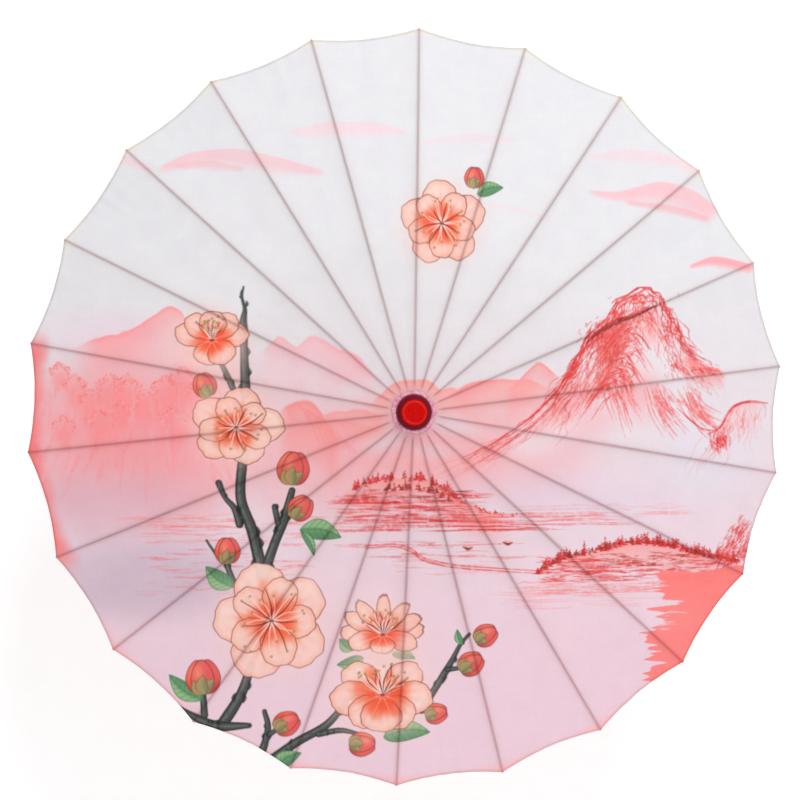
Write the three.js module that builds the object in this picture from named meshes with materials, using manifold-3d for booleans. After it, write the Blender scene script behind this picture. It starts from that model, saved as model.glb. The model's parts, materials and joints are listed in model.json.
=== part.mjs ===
// Bamboo-ribbed cloth parasol, open. Millimetres, +Z up along the shaft, origin at the centre of the
// handle's bottom face. Twenty-two ribs hinge on a wire ring in the hub, and each is propped by a
// stretcher that hinges on the runner. Rib link and stretcher are equally long and both rings have the
// same radius, so every rib folds through the same angle while the runner slides straight down.
import * as THREE from "three";
import { mergeVertices } from "three/addons/utils/BufferGeometryUtils.js";
import Module from "manifold-3d";

const wasm = await Module();
wasm.setup();

// Driving dimensions.
const RIB_COUNT = 22;
const SPAN_RADIUS = 420; // axis to rib tip
const RIB_SLOPE = THREE.MathUtils.degToRad(17); // below horizontal
const PIVOT_RADIUS = 15; // both wire rings
const HUB_Z = 520; // height of the hub's wire ring
const LINK = 185; // hub ring to stretcher pin, and stretcher pin to runner ring
const RIB_DROOP = 12; // how far the rib's bent outer end hangs below its straight line
const SHAFT_RADIUS = 6;
const BORE_RADIUS = 6.3; // through the hub, runner and handle
const GAP = 0.3; // clearance between neighbouring solids

// Toothed wheels: hub and runner.
const WHEEL_RADIUS = 19;
const SLOT_WIDTH = 2;
const SLOT_FLOOR_RADIUS = 12;
const WIRE_RADIUS = 0.5;
const WIRE_HOLE_RADIUS = 1; // in the ribs' and stretchers' ends
const WIRE_TUNNEL_RADIUS = 1.1; // through the wheels' teeth
const HUB_BELOW = 6;
const HUB_ABOVE = 3;
const BOSS_RADIUS = 16;
const BOSS_FOOT = 1; // above the hub's ring, inside the slots
const BOSS_TOP = 9.5; // above the hub's ring
const ROOT_RADIUS = 11.5; // of the boss and the neck, inside the slots' floors
const EDGE_CHAMFER = 1;
const RUNNER_BELOW = 5;
const RUNNER_ABOVE = 4;
const NECK_RADIUS = 9.5;
const NECK_LENGTH = 40; // below the runner's ring
const NECK_FLARE = 3; // length of the cone between the neck and the wheel
const FLANGE_RADIUS = 11.5; // at the neck's lower end
const FLANGE_HEIGHT = 4;
const FLANGE_SLOPE = 2;

// Ribs and stretchers: half depths are measured from the line through their pins.
const TONGUE_THICK = 1.6;
const TONGUE_LENGTH = 10;
const TAPER_LENGTH = 2; // from a thin end to the full width
const TONGUE_HALF_DEPTH = 1.9;
const RIB_UNDER = 1.5;
const RIB_OVER = 3;
const RIB_FULL_DEPTH_AT = 60; // distance from the hub's ring
const RIB_TIP_UNDER = 1;
const RIB_TIP_OVER = 1.6;
const RIB_BENDS = 3; // straight pieces that the bent outer end is made of
const RIB_WIDTH_ROOT = 2.8;
const RIB_WIDTH_MID = 3.6;
const RIB_WIDTH_TIP = 2.4;
const PIN_HOLE_RADIUS = 0.7;
const FORK_SLIT = 1.7; // slit in the rib that takes the stretcher's thin end
const FORK_INWARD = 8;
const FORK_OUTWARD = 29;
const BLADE_THICK = 1.2; // the stretcher's thin end
const BLADE_LENGTH = 31;
const STRETCHER_WIDTH = 3;
const STRETCHER_HALF_DEPTH = 1.7;

// Canopy, cap and gathered ring.
const CLOTH_GAP = 0.5; // above the ribs
const CLOTH_THICK = 0.6;
const CLOTH_INNER_RADIUS = 20.2;
const CLOTH_OVERHANG = 1.5; // past the rib tips
const EDGE_SCALLOP = 0.0125; // share of the radius by which the hem curves in between two ribs
const CLOTH_SAG = 3; // between two ribs, at the rim
const RING_SHARES = [0.43, 0.62, 0.81, 1]; // of the way out to the hem, for the cloth's outer rings
const POINTS_PER_GORE = 4;
const CAP_RIM_RADIUS = 18;
const CAP_TOP = 17; // above the hub's ring
const CAP_WALL = 1.5;
const CAP_CEILING = 4; // top of the cap to the roof of its hollow
const CAP_HOLLOW_SLOPE = 3;
const CAP_EDGE_HEIGHT = 4; // straight lower edge
// Radius and depth below the cap's top, from the shoulder in to the raised middle.
const CAP_CROWN = [
  [16.6, 4.9],
  [13.7, 2],
  [12.6, 1.4],
  [10.7, 1.4],
  [10.1, 0],
  [0, 0],
];
const CAP_SEGMENTS = 32;
// Radius and height of the gathered ring's section, over its flat underside.
const GATHER_SECTION = [
  [18.4, 0],
  [20.9, 0],
  [21.5, 0.7],
  [20.7, 1.7],
  [18.4, 2],
  [18.4, 0],
];
const GATHER_SEGMENTS = 44;

// Handle.
const HANDLE_LENGTH = 100;
const HANDLE_RADIUS = 11.5;
// Radius and height of the handle's outline, from its flat bottom up.
const HANDLE_OUTLINE = [
  [0, 0],
  [9.5, 0],
  [11.1, 1.5],
  [HANDLE_RADIUS, 6],
  [10.3, 45],
  [9.9, 80],
  [10.3, 97],
  [9.1, HANDLE_LENGTH],
];
const HANDLE_SEGMENTS = 28;
const SHAFT_BOTTOM = 20;
const SHAFT_SEGMENTS = 20;
const SHAFT_OVER_BOSS = 1;
const PEG_RADIUS = 1.2;
const PEG_SIDES = 8;
const HANDLE_PEG_Z = 85;
const HANDLE_PEG_LENGTH = 19.5;
const HUB_PEG_ABOVE = 6; // above the hub's ring
const HUB_PEG_LENGTH = 30.5;
const DRILL = 40; // length of the cutters that bore cross holes

// Spring catch in the shaft's slot, just under the open runner.
const CATCH_REACH = 9.3; // axis to the catch's nose
const CATCH_LENGTH = 31; // catch pin to the ledge that carries the runner
const CATCH_THICK = 1.6;
const CATCH_SLOT = 2.4;
const CATCH_SLOT_BACK = -1.5; // x of the slot's inner face
const CATCH_SLOT_BELOW = 4; // under the catch pin
const CATCH_SLOT_ABOVE = 2; // over the ledge
const CATCH_PIN_X = 2;
const CATCH_PIN_LENGTH = 10;
const CATCH_FOOT_RADIUS = 2;
const CATCH_SHANK_RISE = 8; // over the pin, where the back starts to slope out
const CATCH_NOSE_HEIGHT = 7;
const CATCH_LEDGE_X = 3; // inner end of the ledge
const CATCH_THROAT_X = 2.4;
const CATCH_THROAT_DROP = 9; // under the ledge

// Worked out from the above.
const RUNNER_Z = HUB_Z - 2 * LINK * Math.sin(RIB_SLOPE);
const RIB_LENGTH = (SPAN_RADIUS - PIVOT_RADIUS + RIB_DROOP * Math.sin(RIB_SLOPE)) / Math.cos(RIB_SLOPE);
const LEDGE_Z = RUNNER_Z - NECK_LENGTH - GAP;
const CATCH_PIN_Z = LEDGE_Z - CATCH_LENGTH;
const STEP = (2 * Math.PI) / RIB_COUNT;
const { cos, sin, tan, sqrt, PI } = Math;

// Materials.
const bamboo = () => new THREE.MeshStandardMaterial({ color: 0xb98d5e, roughness: 0.55, metalness: 0 });
const wood = () => new THREE.MeshStandardMaterial({ color: 0x7a4526, roughness: 0.4, metalness: 0 });
const cloth = () => new THREE.MeshStandardMaterial({ color: 0xeed5dd, roughness: 0.7, metalness: 0 });
const lacquer = () => new THREE.MeshStandardMaterial({ color: 0xc3203a, roughness: 0.2, metalness: 0 });
const steel = () => new THREE.MeshStandardMaterial({ color: 0xb9bbbf, roughness: 0.35, metalness: 1 });

// A geometry as a manifold solid, and back.
function solidOf(geometry) {
  const bare = geometry.clone();
  bare.deleteAttribute("normal");
  bare.deleteAttribute("uv");
  const merged = mergeVertices(bare, 1e-4);
  const mesh = new wasm.Mesh({
    numProp: 3,
    vertProperties: merged.attributes.position.array,
    triVerts: new Uint32Array(merged.index.array),
  });
  return new wasm.Manifold(mesh);
}

function geometryOf(solid) {
  const mesh = solid.getMesh();
  const geometry = new THREE.BufferGeometry();
  geometry.setAttribute("position", new THREE.BufferAttribute(mesh.vertProperties, 3));
  geometry.setIndex(new THREE.BufferAttribute(mesh.triVerts, 1));
  geometry.computeVertexNormals();
  return geometry;
}

function cut(geometry, ...cutters) {
  const result = cutters.reduce((solid, cutter) => solid.subtract(solidOf(cutter)), solidOf(geometry));
  return geometryOf(result);
}

function join(...geometries) {
  const [first, ...rest] = geometries.map(solidOf);
  return geometryOf(rest.reduce((solid, other) => solid.add(other), first));
}

// A solid of revolution about Z from [radius, height] points, listed from the bottom up the outside.
function turned(points, segments = 24) {
  const profile = points.map(([radius, height]) => new THREE.Vector2(radius, height));
  return new THREE.LatheGeometry(profile, segments).rotateX(PI / 2);
}

// A cylinder between two heights, about Z.
function rod(radius, bottom, top, segments = 24) {
  const length = top - bottom;
  const geometry = new THREE.CylinderGeometry(radius, radius, length, segments).rotateX(PI / 2);
  return geometry.translate(0, 0, bottom + length / 2);
}

// A six-sided or round pin along Y, centred on (x, z).
function crossPin(radius, length, x, z, segments = 6) {
  return new THREE.CylinderGeometry(radius, radius, length, segments).translate(x, 0, z);
}

function block(x0, x1, width, z0, z1) {
  const geometry = new THREE.BoxGeometry(x1 - x0, width, z1 - z0);
  return geometry.translate((x0 + x1) / 2, 0, (z0 + z1) / 2);
}

// A flat plate of even thickness, seen from its side in the XZ plane.
function plate(shape, thickness) {
  const options = { depth: thickness, bevelEnabled: false, curveSegments: 4 };
  return new THREE.ExtrudeGeometry(shape, options).rotateX(PI / 2).translate(0, thickness / 2, 0);
}

// A bar along X with a rectangular section at each station: { x, under, over, width }.
function bar(stations) {
  const positions = [];
  const triangles = [];
  const quad = (a, b, c, d) => triangles.push(a, b, c, a, c, d);
  stations.forEach(({ x, under, over, width }, i) => {
    const half = width / 2;
    positions.push(x, -half, -under, x, half, -under, x, half, over, x, -half, over);
    if (i === 0) return;
    const here = 4 * i;
    const back = here - 4;
    for (let j = 0; j < 4; j += 1) {
      const k = (j + 1) % 4;
      quad(back + k, here + k, here + j, back + j);
    }
  });
  const last = 4 * (stations.length - 1);
  quad(3, 2, 1, 0);
  quad(last, last + 1, last + 2, last + 3);
  const geometry = new THREE.BufferGeometry();
  geometry.setAttribute("position", new THREE.Float32BufferAttribute(positions, 3));
  geometry.setIndex(triangles);
  return geometry;
}

// The stations of a rounded end about a pin at x = at, in order along X; side is -1 or 1.
function roundEnd(at, radius, width, side) {
  const turns = side < 0 ? [0.38, 0.75, 1] : [1, 0.75, 0.38];
  return turns.map((share) => {
    const depth = radius * share;
    return { x: at + side * sqrt(radius * radius - depth * depth), under: depth, over: depth, width };
  });
}

// Straight-line interpolation through [x, value] pairs.
function through(pairs) {
  return (x) => {
    const next = pairs.findIndex(([at]) => at >= x);
    if (next === 0) return pairs[0][1];
    if (next < 0) return pairs[pairs.length - 1][1];
    const [x0, v0] = pairs[next - 1];
    const [x1, v1] = pairs[next];
    return v0 + ((v1 - v0) * (x - x0)) / (x1 - x0);
  };
}

const ribDroop = (x) => RIB_DROOP * (Math.max(0, x - LINK) / (RIB_LENGTH - LINK)) ** 2;
const ribOver = through([
  [TONGUE_LENGTH, TONGUE_HALF_DEPTH],
  [RIB_FULL_DEPTH_AT, RIB_OVER],
  [LINK, RIB_OVER],
  [RIB_LENGTH, RIB_TIP_OVER],
]);
const ribUnder = through([
  [TONGUE_LENGTH, TONGUE_HALF_DEPTH],
  [RIB_FULL_DEPTH_AT, RIB_UNDER],
  [LINK, RIB_UNDER],
  [RIB_LENGTH, RIB_TIP_UNDER],
]);
const ribWidth = through([
  [TONGUE_LENGTH, TONGUE_THICK],
  [TONGUE_LENGTH + TAPER_LENGTH, RIB_WIDTH_ROOT],
  [LINK, RIB_WIDTH_MID],
  [LINK + FORK_OUTWARD, RIB_WIDTH_MID],
  [RIB_LENGTH, RIB_WIDTH_TIP],
]);

function ribGeometry() {
  const bendStart = LINK + FORK_OUTWARD;
  const places = [TONGUE_LENGTH, TONGUE_LENGTH + TAPER_LENGTH, RIB_FULL_DEPTH_AT, LINK, bendStart];
  for (let i = 1; i <= RIB_BENDS; i += 1) {
    places.push(bendStart + ((RIB_LENGTH - bendStart) * i) / RIB_BENDS);
  }
  const stations = places.map((x) => ({
    x,
    under: ribUnder(x) + ribDroop(x),
    over: ribOver(x) - ribDroop(x),
    width: ribWidth(x),
  }));
  return cut(
    bar([...roundEnd(0, TONGUE_HALF_DEPTH, TONGUE_THICK, -1), ...stations]),
    block(LINK - FORK_INWARD, bendStart, FORK_SLIT, -DRILL / 2, DRILL / 2),
    crossPin(WIRE_HOLE_RADIUS, DRILL, 0, 0),
    crossPin(PIN_HOLE_RADIUS, DRILL, LINK, 0),
  );
}

// Runs from its pivot on the runner's ring to its pin in the rib.
function stretcherGeometry() {
  const depth = STRETCHER_HALF_DEPTH;
  const bladeStart = LINK - BLADE_LENGTH;
  const station = (x, width) => ({ x, under: depth, over: depth, width });
  const stations = [
    ...roundEnd(0, depth, TONGUE_THICK, -1),
    station(TONGUE_LENGTH, TONGUE_THICK),
    station(TONGUE_LENGTH + TAPER_LENGTH, STRETCHER_WIDTH),
    station(bladeStart - TAPER_LENGTH, STRETCHER_WIDTH),
    station(bladeStart, BLADE_THICK),
    ...roundEnd(LINK, depth, BLADE_THICK, 1),
  ];
  const wireHole = crossPin(WIRE_HOLE_RADIUS, DRILL, 0, 0);
  const pinHole = crossPin(PIN_HOLE_RADIUS, DRILL, LINK, 0);
  return cut(bar(stations), wireHole, pinHole);
}

// A wheel with a slot for each rib, between two heights, bored for the shaft.
function toothedWheel(bottom, top) {
  const shape = new THREE.Shape();
  const half = SLOT_WIDTH / 2;
  for (let i = 0; i < RIB_COUNT; i += 1) {
    const angle = PI / 2 + i * STEP;
    const corner = (radius, side) => {
      const along = sqrt(radius * radius - half * half);
      return [along * cos(angle) - side * half * sin(angle), along * sin(angle) + side * half * cos(angle)];
    };
    const outline = [
      corner(WHEEL_RADIUS, -1),
      corner(SLOT_FLOOR_RADIUS, -1),
      corner(SLOT_FLOOR_RADIUS, 1),
      corner(WHEEL_RADIUS, 1),
      [WHEEL_RADIUS * cos(angle + STEP / 2), WHEEL_RADIUS * sin(angle + STEP / 2)],
    ];
    outline.forEach(([x, y], j) => (i + j === 0 ? shape.moveTo(x, y) : shape.lineTo(x, y)));
  }
  const bore = new THREE.Path();
  bore.absarc(0, 0, BORE_RADIUS, 0, 2 * PI, true);
  shape.holes.push(bore);
  const options = { depth: top - bottom, bevelEnabled: false, curveSegments: 12 };
  return new THREE.ExtrudeGeometry(shape, options).translate(0, 0, bottom);
}

// A wire ring, or with four sides its tunnel, whose corners lie in the slots.
function wireRing(radius, height, sides = 6) {
  const ring = new THREE.TorusGeometry(PIVOT_RADIUS, radius, sides, RIB_COUNT);
  return ring.rotateZ(PI / 2).translate(0, 0, height);
}

function hubGeometry() {
  const top = HUB_Z + BOSS_TOP;
  const boss = turned([
    [BORE_RADIUS, HUB_Z + BOSS_FOOT],
    [ROOT_RADIUS, HUB_Z + BOSS_FOOT],
    [ROOT_RADIUS, HUB_Z + HUB_ABOVE],
    [BOSS_RADIUS, HUB_Z + HUB_ABOVE],
    [BOSS_RADIUS, top - EDGE_CHAMFER],
    [BOSS_RADIUS - EDGE_CHAMFER, top],
    [BORE_RADIUS, top],
    [BORE_RADIUS, HUB_Z + BOSS_FOOT],
  ]);
  const wheel = toothedWheel(HUB_Z - HUB_BELOW, HUB_Z + HUB_ABOVE);
  return cut(
    join(wheel, boss),
    wireRing(WIRE_TUNNEL_RADIUS, HUB_Z, 4),
    crossPin(PEG_RADIUS + GAP, DRILL, 0, HUB_Z + HUB_PEG_ABOVE, PEG_SIDES),
  );
}

function runnerGeometry() {
  const bottom = RUNNER_Z - NECK_LENGTH;
  const flareTop = RUNNER_Z - RUNNER_BELOW - EDGE_CHAMFER;
  const neck = turned([
    [BORE_RADIUS, bottom],
    [FLANGE_RADIUS - EDGE_CHAMFER, bottom],
    [FLANGE_RADIUS, bottom + EDGE_CHAMFER],
    [FLANGE_RADIUS, bottom + FLANGE_HEIGHT],
    [NECK_RADIUS, bottom + FLANGE_HEIGHT + FLANGE_SLOPE],
    [NECK_RADIUS, flareTop - NECK_FLARE],
    [ROOT_RADIUS, flareTop],
    [ROOT_RADIUS, RUNNER_Z],
    [BORE_RADIUS, RUNNER_Z],
    [BORE_RADIUS, bottom],
  ]);
  const wheel = toothedWheel(RUNNER_Z - RUNNER_BELOW, RUNNER_Z + RUNNER_ABOVE);
  return cut(join(wheel, neck), wireRing(WIRE_TUNNEL_RADIUS, RUNNER_Z, 4));
}

// The cloth's underside follows the tops of the ribs and runs flat across each gore, a little sagged.
function canopyHeight(radius, offRib) {
  const toMid = STEP / 2 - offRib;
  const ribRadius = (radius * cos(toMid)) / cos(STEP / 2);
  const along = (ribRadius - PIVOT_RADIUS) / cos(RIB_SLOPE);
  const normal = ribOver(along) - ribDroop(along) + CLOTH_GAP;
  const sag = CLOTH_SAG * (ribRadius / SPAN_RADIUS) * sin((PI * offRib) / STEP) ** 2;
  return HUB_Z - (ribRadius - PIVOT_RADIUS) * tan(RIB_SLOPE) + normal / cos(RIB_SLOPE) - sag;
}

function canopyGeometry() {
  const around = RIB_COUNT * POINTS_PER_GORE;
  const outer = SPAN_RADIUS + CLOTH_OVERHANG;
  const fullDepthShare = (RIB_FULL_DEPTH_AT * cos(RIB_SLOPE)) / outer;
  const shares = [0, fullDepthShare, ...RING_SHARES];
  const rings = shares.length;
  const section = rings * 2;
  const positions = [];
  const triangles = [];
  for (let i = 0; i < around; i += 1) {
    const offRib = ((i % POINTS_PER_GORE) * STEP) / POINTS_PER_GORE;
    const angle = (i * STEP) / POINTS_PER_GORE + PI / 2;
    const bulge = (4 * offRib * (STEP - offRib)) / STEP ** 2;
    const rim = outer * (cos(STEP / 2) / cos(STEP / 2 - offRib)) * (1 - EDGE_SCALLOP * bulge);
    const point = (share, lift) => {
      const radius = CLOTH_INNER_RADIUS + (rim - CLOTH_INNER_RADIUS) * share;
      positions.push(radius * cos(angle), radius * sin(angle), canopyHeight(radius, offRib) + lift);
    };
    shares.forEach((share) => point(share, 0));
    [...shares].reverse().forEach((share) => point(share, CLOTH_THICK));
    const here = i * section;
    const there = ((i + 1) % around) * section;
    for (let j = 0; j < section; j += 1) {
      const next = (j + 1) % section;
      triangles.push(here + j, there + j, there + next, here + j, there + next, here + next);
    }
  }
  const geometry = new THREE.BufferGeometry();
  geometry.setAttribute("position", new THREE.Float32BufferAttribute(positions, 3));
  geometry.setIndex(triangles);
  geometry.computeVertexNormals();
  return geometry;
}

function capGeometry() {
  const rim = HUB_Z + HUB_ABOVE + 2 * GAP;
  const top = HUB_Z + CAP_TOP;
  const roof = top - CAP_CEILING;
  const inside = CAP_RIM_RADIUS - CAP_WALL;
  const hollow = [
    [0, roof],
    [inside - CAP_HOLLOW_SLOPE, roof],
    [inside, roof - CAP_HOLLOW_SLOPE],
    [inside, rim],
  ];
  const edge = [
    [CAP_RIM_RADIUS, rim],
    [CAP_RIM_RADIUS, rim + CAP_EDGE_HEIGHT],
  ];
  const crown = CAP_CROWN.map(([radius, depth]) => [radius, top - depth]);
  return turned([...hollow, ...edge, ...crown], CAP_SEGMENTS);
}

function gatherRingGeometry() {
  const bottom = HUB_Z + HUB_ABOVE + GAP;
  return turned(GATHER_SECTION.map(([radius, height]) => [radius, bottom + height]), GATHER_SEGMENTS);
}

function shaftGeometry() {
  const slotBottom = CATCH_PIN_Z - CATCH_SLOT_BELOW;
  const slotTop = LEDGE_Z + CATCH_SLOT_ABOVE;
  return cut(
    rod(SHAFT_RADIUS, SHAFT_BOTTOM, HUB_Z + BOSS_TOP + SHAFT_OVER_BOSS, SHAFT_SEGMENTS),
    block(CATCH_SLOT_BACK, WHEEL_RADIUS, CATCH_SLOT, slotBottom, slotTop),
    crossPin(PEG_RADIUS, DRILL, CATCH_PIN_X, CATCH_PIN_Z, PEG_SIDES),
    crossPin(PEG_RADIUS + GAP, DRILL, 0, HUB_Z + HUB_PEG_ABOVE, PEG_SIDES),
    crossPin(PEG_RADIUS + GAP, DRILL, 0, HANDLE_PEG_Z, PEG_SIDES),
  );
}

function handleGeometry() {
  const socket = [
    [BORE_RADIUS, HANDLE_LENGTH],
    [BORE_RADIUS, SHAFT_BOTTOM - GAP],
    [0, SHAFT_BOTTOM - GAP],
  ];
  const body = turned([...HANDLE_OUTLINE, ...socket], HANDLE_SEGMENTS);
  return cut(body, crossPin(PEG_RADIUS + GAP, DRILL, 0, HANDLE_PEG_Z, PEG_SIDES));
}

// Side view of the catch: pinned at its foot, with a flat ledge on top and a sloping back to its nose.
function catchGeometry() {
  const shape = new THREE.Shape();
  const foot = CATCH_FOOT_RADIUS;
  const shankTop = CATCH_PIN_Z + CATCH_SHANK_RISE;
  shape.absarc(CATCH_PIN_X, CATCH_PIN_Z, foot, PI, 2 * PI, false);
  shape.lineTo(CATCH_PIN_X + 1.5 * foot, shankTop);
  shape.lineTo(CATCH_REACH, LEDGE_Z - CATCH_NOSE_HEIGHT);
  shape.lineTo(CATCH_REACH, LEDGE_Z);
  shape.lineTo(CATCH_LEDGE_X, LEDGE_Z);
  shape.lineTo(CATCH_THROAT_X, LEDGE_Z - CATCH_THROAT_DROP);
  shape.lineTo(CATCH_PIN_X - 0.7 * foot, shankTop);
  return cut(plate(shape, CATCH_THICK), crossPin(PEG_RADIUS, DRILL, CATCH_PIN_X, CATCH_PIN_Z, PEG_SIDES));
}

function catchPinGeometry() {
  return crossPin(PEG_RADIUS - GAP, CATCH_PIN_LENGTH, CATCH_PIN_X, CATCH_PIN_Z, PEG_SIDES);
}

const umbrella = new THREE.Group();

function place(name, geometry, material, parent = umbrella) {
  const mesh = new THREE.Mesh(geometry, material);
  mesh.name = name;
  parent.add(mesh);
  return mesh;
}

place("shaft", shaftGeometry(), bamboo());
place("handle", handleGeometry(), wood());
place("handle_peg", crossPin(PEG_RADIUS, HANDLE_PEG_LENGTH, 0, HANDLE_PEG_Z, PEG_SIDES), bamboo());
place("hub", hubGeometry(), wood());
place("hub_wire", wireRing(WIRE_RADIUS, HUB_Z), steel());
place("hub_peg", crossPin(PEG_RADIUS, HUB_PEG_LENGTH, 0, HUB_Z + HUB_PEG_ABOVE, PEG_SIDES), bamboo());
place("cap", capGeometry(), lacquer());
place("gather_ring", gatherRingGeometry(), cloth());
place("canopy", canopyGeometry(), cloth());
place("runner", runnerGeometry(), wood());
place("runner_wire", wireRing(WIRE_RADIUS, RUNNER_Z), steel());
place("catch", catchGeometry(), steel());
place("catch_pin", catchPinGeometry(), steel());

// Ribs run clockwise from +Y, seen from above; each has its stretcher in the same radial plane.
for (let i = 0; i < RIB_COUNT; i += 1) {
  const label = String(i + 1).padStart(2, "0");
  const radial = new THREE.Group();
  radial.rotation.z = PI / 2 - i * STEP;
  umbrella.add(radial);
  const rib = place("rib_" + label, ribGeometry(), bamboo(), radial);
  rib.position.set(PIVOT_RADIUS, 0, HUB_Z);
  rib.rotation.y = RIB_SLOPE;
  const stretcher = place("stretcher_" + label, stretcherGeometry(), bamboo(), radial);
  stretcher.position.set(PIVOT_RADIUS, 0, RUNNER_Z);
  stretcher.rotation.y = -RIB_SLOPE;
}

export default umbrella;
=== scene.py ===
"""Looks of an open cloth parasol on bamboo ribs: printed canopy, gathered ring, cap, hub, ribs and handle."""

import json
import math

import bpy
import numpy as np
from mathutils import Matrix, Vector

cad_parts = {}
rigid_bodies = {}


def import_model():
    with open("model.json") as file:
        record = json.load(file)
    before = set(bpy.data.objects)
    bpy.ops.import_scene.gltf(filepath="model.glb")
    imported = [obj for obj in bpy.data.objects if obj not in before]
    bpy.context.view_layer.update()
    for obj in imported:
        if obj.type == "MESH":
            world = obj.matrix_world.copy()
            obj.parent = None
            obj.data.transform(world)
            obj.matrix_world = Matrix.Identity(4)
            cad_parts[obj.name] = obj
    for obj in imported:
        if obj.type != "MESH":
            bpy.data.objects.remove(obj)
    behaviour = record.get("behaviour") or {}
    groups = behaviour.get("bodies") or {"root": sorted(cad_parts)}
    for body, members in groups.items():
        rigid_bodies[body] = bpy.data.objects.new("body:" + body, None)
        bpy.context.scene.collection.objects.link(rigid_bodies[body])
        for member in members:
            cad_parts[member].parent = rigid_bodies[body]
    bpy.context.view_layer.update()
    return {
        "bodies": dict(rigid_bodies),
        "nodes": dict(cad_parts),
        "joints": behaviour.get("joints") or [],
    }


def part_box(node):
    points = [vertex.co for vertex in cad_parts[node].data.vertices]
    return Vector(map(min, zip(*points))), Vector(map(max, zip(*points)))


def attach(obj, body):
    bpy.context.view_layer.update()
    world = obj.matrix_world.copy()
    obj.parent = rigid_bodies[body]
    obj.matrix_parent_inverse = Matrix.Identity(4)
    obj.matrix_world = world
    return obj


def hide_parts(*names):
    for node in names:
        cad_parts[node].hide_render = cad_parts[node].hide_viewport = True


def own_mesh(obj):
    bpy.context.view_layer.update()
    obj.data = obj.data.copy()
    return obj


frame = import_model()

# ---------------------------------------------------------------- dimensions, in metres, from the frame
JOINTS = {joint["name"]: joint for joint in frame["joints"]}
HUB_PIVOT = JOINTS["canopy_fold"]["pos_m"]
RIB_PIN = JOINTS["stretcher_fold_01"]["pos_m"]
RIB_COUNT = sum(name.startswith("rib_") for name in frame["bodies"])
STEP = 2 * math.pi / RIB_COUNT
PIVOT_RADIUS = math.hypot(HUB_PIVOT[0], HUB_PIVOT[1])
HUB_Z = HUB_PIVOT[2]
PIN_RADIUS = math.hypot(RIB_PIN[0], RIB_PIN[1])
LINK = math.hypot(PIN_RADIUS - PIVOT_RADIUS, HUB_Z - RIB_PIN[2])
SLOPE = math.asin((HUB_Z - RIB_PIN[2]) / LINK)
TIP_OVERHANG = 0.0003  # how far the ribs' ends reach past the span used here
SPAN_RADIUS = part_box("rib_01")[1][1] - TIP_OVERHANG
RIB_DROOP = 0.012
RIB_LENGTH = (SPAN_RADIUS - PIVOT_RADIUS + RIB_DROOP * math.sin(SLOPE)) / math.cos(SLOPE)
RIB_NECK, RIB_SHOULDER = 0.010, 0.060  # where the rib starts and stops deepening
NECK_OVER, RIB_OVER, TIP_OVER = 0.0019, 0.003, 0.0016  # height of a rib's flat top over its centre line

# The cloth.
INNER_RADIUS = 0.0196  # where the cloth starts, under the gathered ring
CLOTH_LIFT = 0.0003  # above the ribs' flat tops
PAST_TIPS = 0.0004  # the cloth's edge past the ribs' ends
EDGE_SCALLOP = 0.0125  # how deep the edge curves in between ribs, as a share of the radius
SAG = 0.0045  # of the cloth between the ribs, at the rim
RIDGE_HEIGHT, RIDGE_WIDTH = 0.0008, 0.0017  # over each rib
PUCKER_HEIGHT = 0.0006  # near the hem
WAVE_HEIGHT = 0.0007  # of the loose cloth between ribs
GATHER_HEIGHT = 0.0005  # near the hub
VERTEX_GAP = 0.00095
HEM_WIDTH = 0.0022
HEM_DROP = 0.0005  # how far the turned hem lies under the cloth
HEM_ROWS = (0.0, 0.35, 1.0)  # shares of the hem's width, from the edge inward
THREAD_WIDTH = 0.0006
RIB_GLUE_AND_SHADE = np.array([0.80, 0.60, 0.62])  # a rib's glue line and painted shade where the rib blocks light through the cloth, tinting the cloth that lies on it
RIB_GLUE_AND_SHADE_WIDTH, RIB_GLUE_AND_SHADE_SHARE = 0.0011, 0.42
HEM_STAIN = np.array([0.80, 0.76, 0.60])
HEM_STAIN_SHARE = 0.22

# The gathered ring round the cap.
RING_INNER, RING_WIDTH = 0.0177, 0.0049
RING_FOOT = 0.5238  # height of its inner edge
RING_ARCH, RING_DRAPE = 0.0015, 0.0024
PLEAT_HEIGHT = 0.0011

# The print is laid out in millimetres, X right and Y up, as seen from straight above the open canopy.
PRINT_TURN = math.radians(1.7)
PRINT_HALF = 440.0
PRINT_STEP = 0.6
PRINT_EYE = 1.95  # height that the layout is seen from, in metres
RIM_Z = HUB_Z - RIB_LENGTH * math.sin(SLOPE) - RIB_DROOP


def smooth(low, high, value):
    t = np.clip((value - low) / (high - low), 0.0, 1.0)
    return t * t * (3.0 - 2.0 * t)


def mixed(a, b, share):
    share = np.asarray(share, np.float32)
    if share.ndim:
        share = share[..., None]
    return np.asarray(a, np.float32) * (1 - share) + np.asarray(b, np.float32) * share


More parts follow.
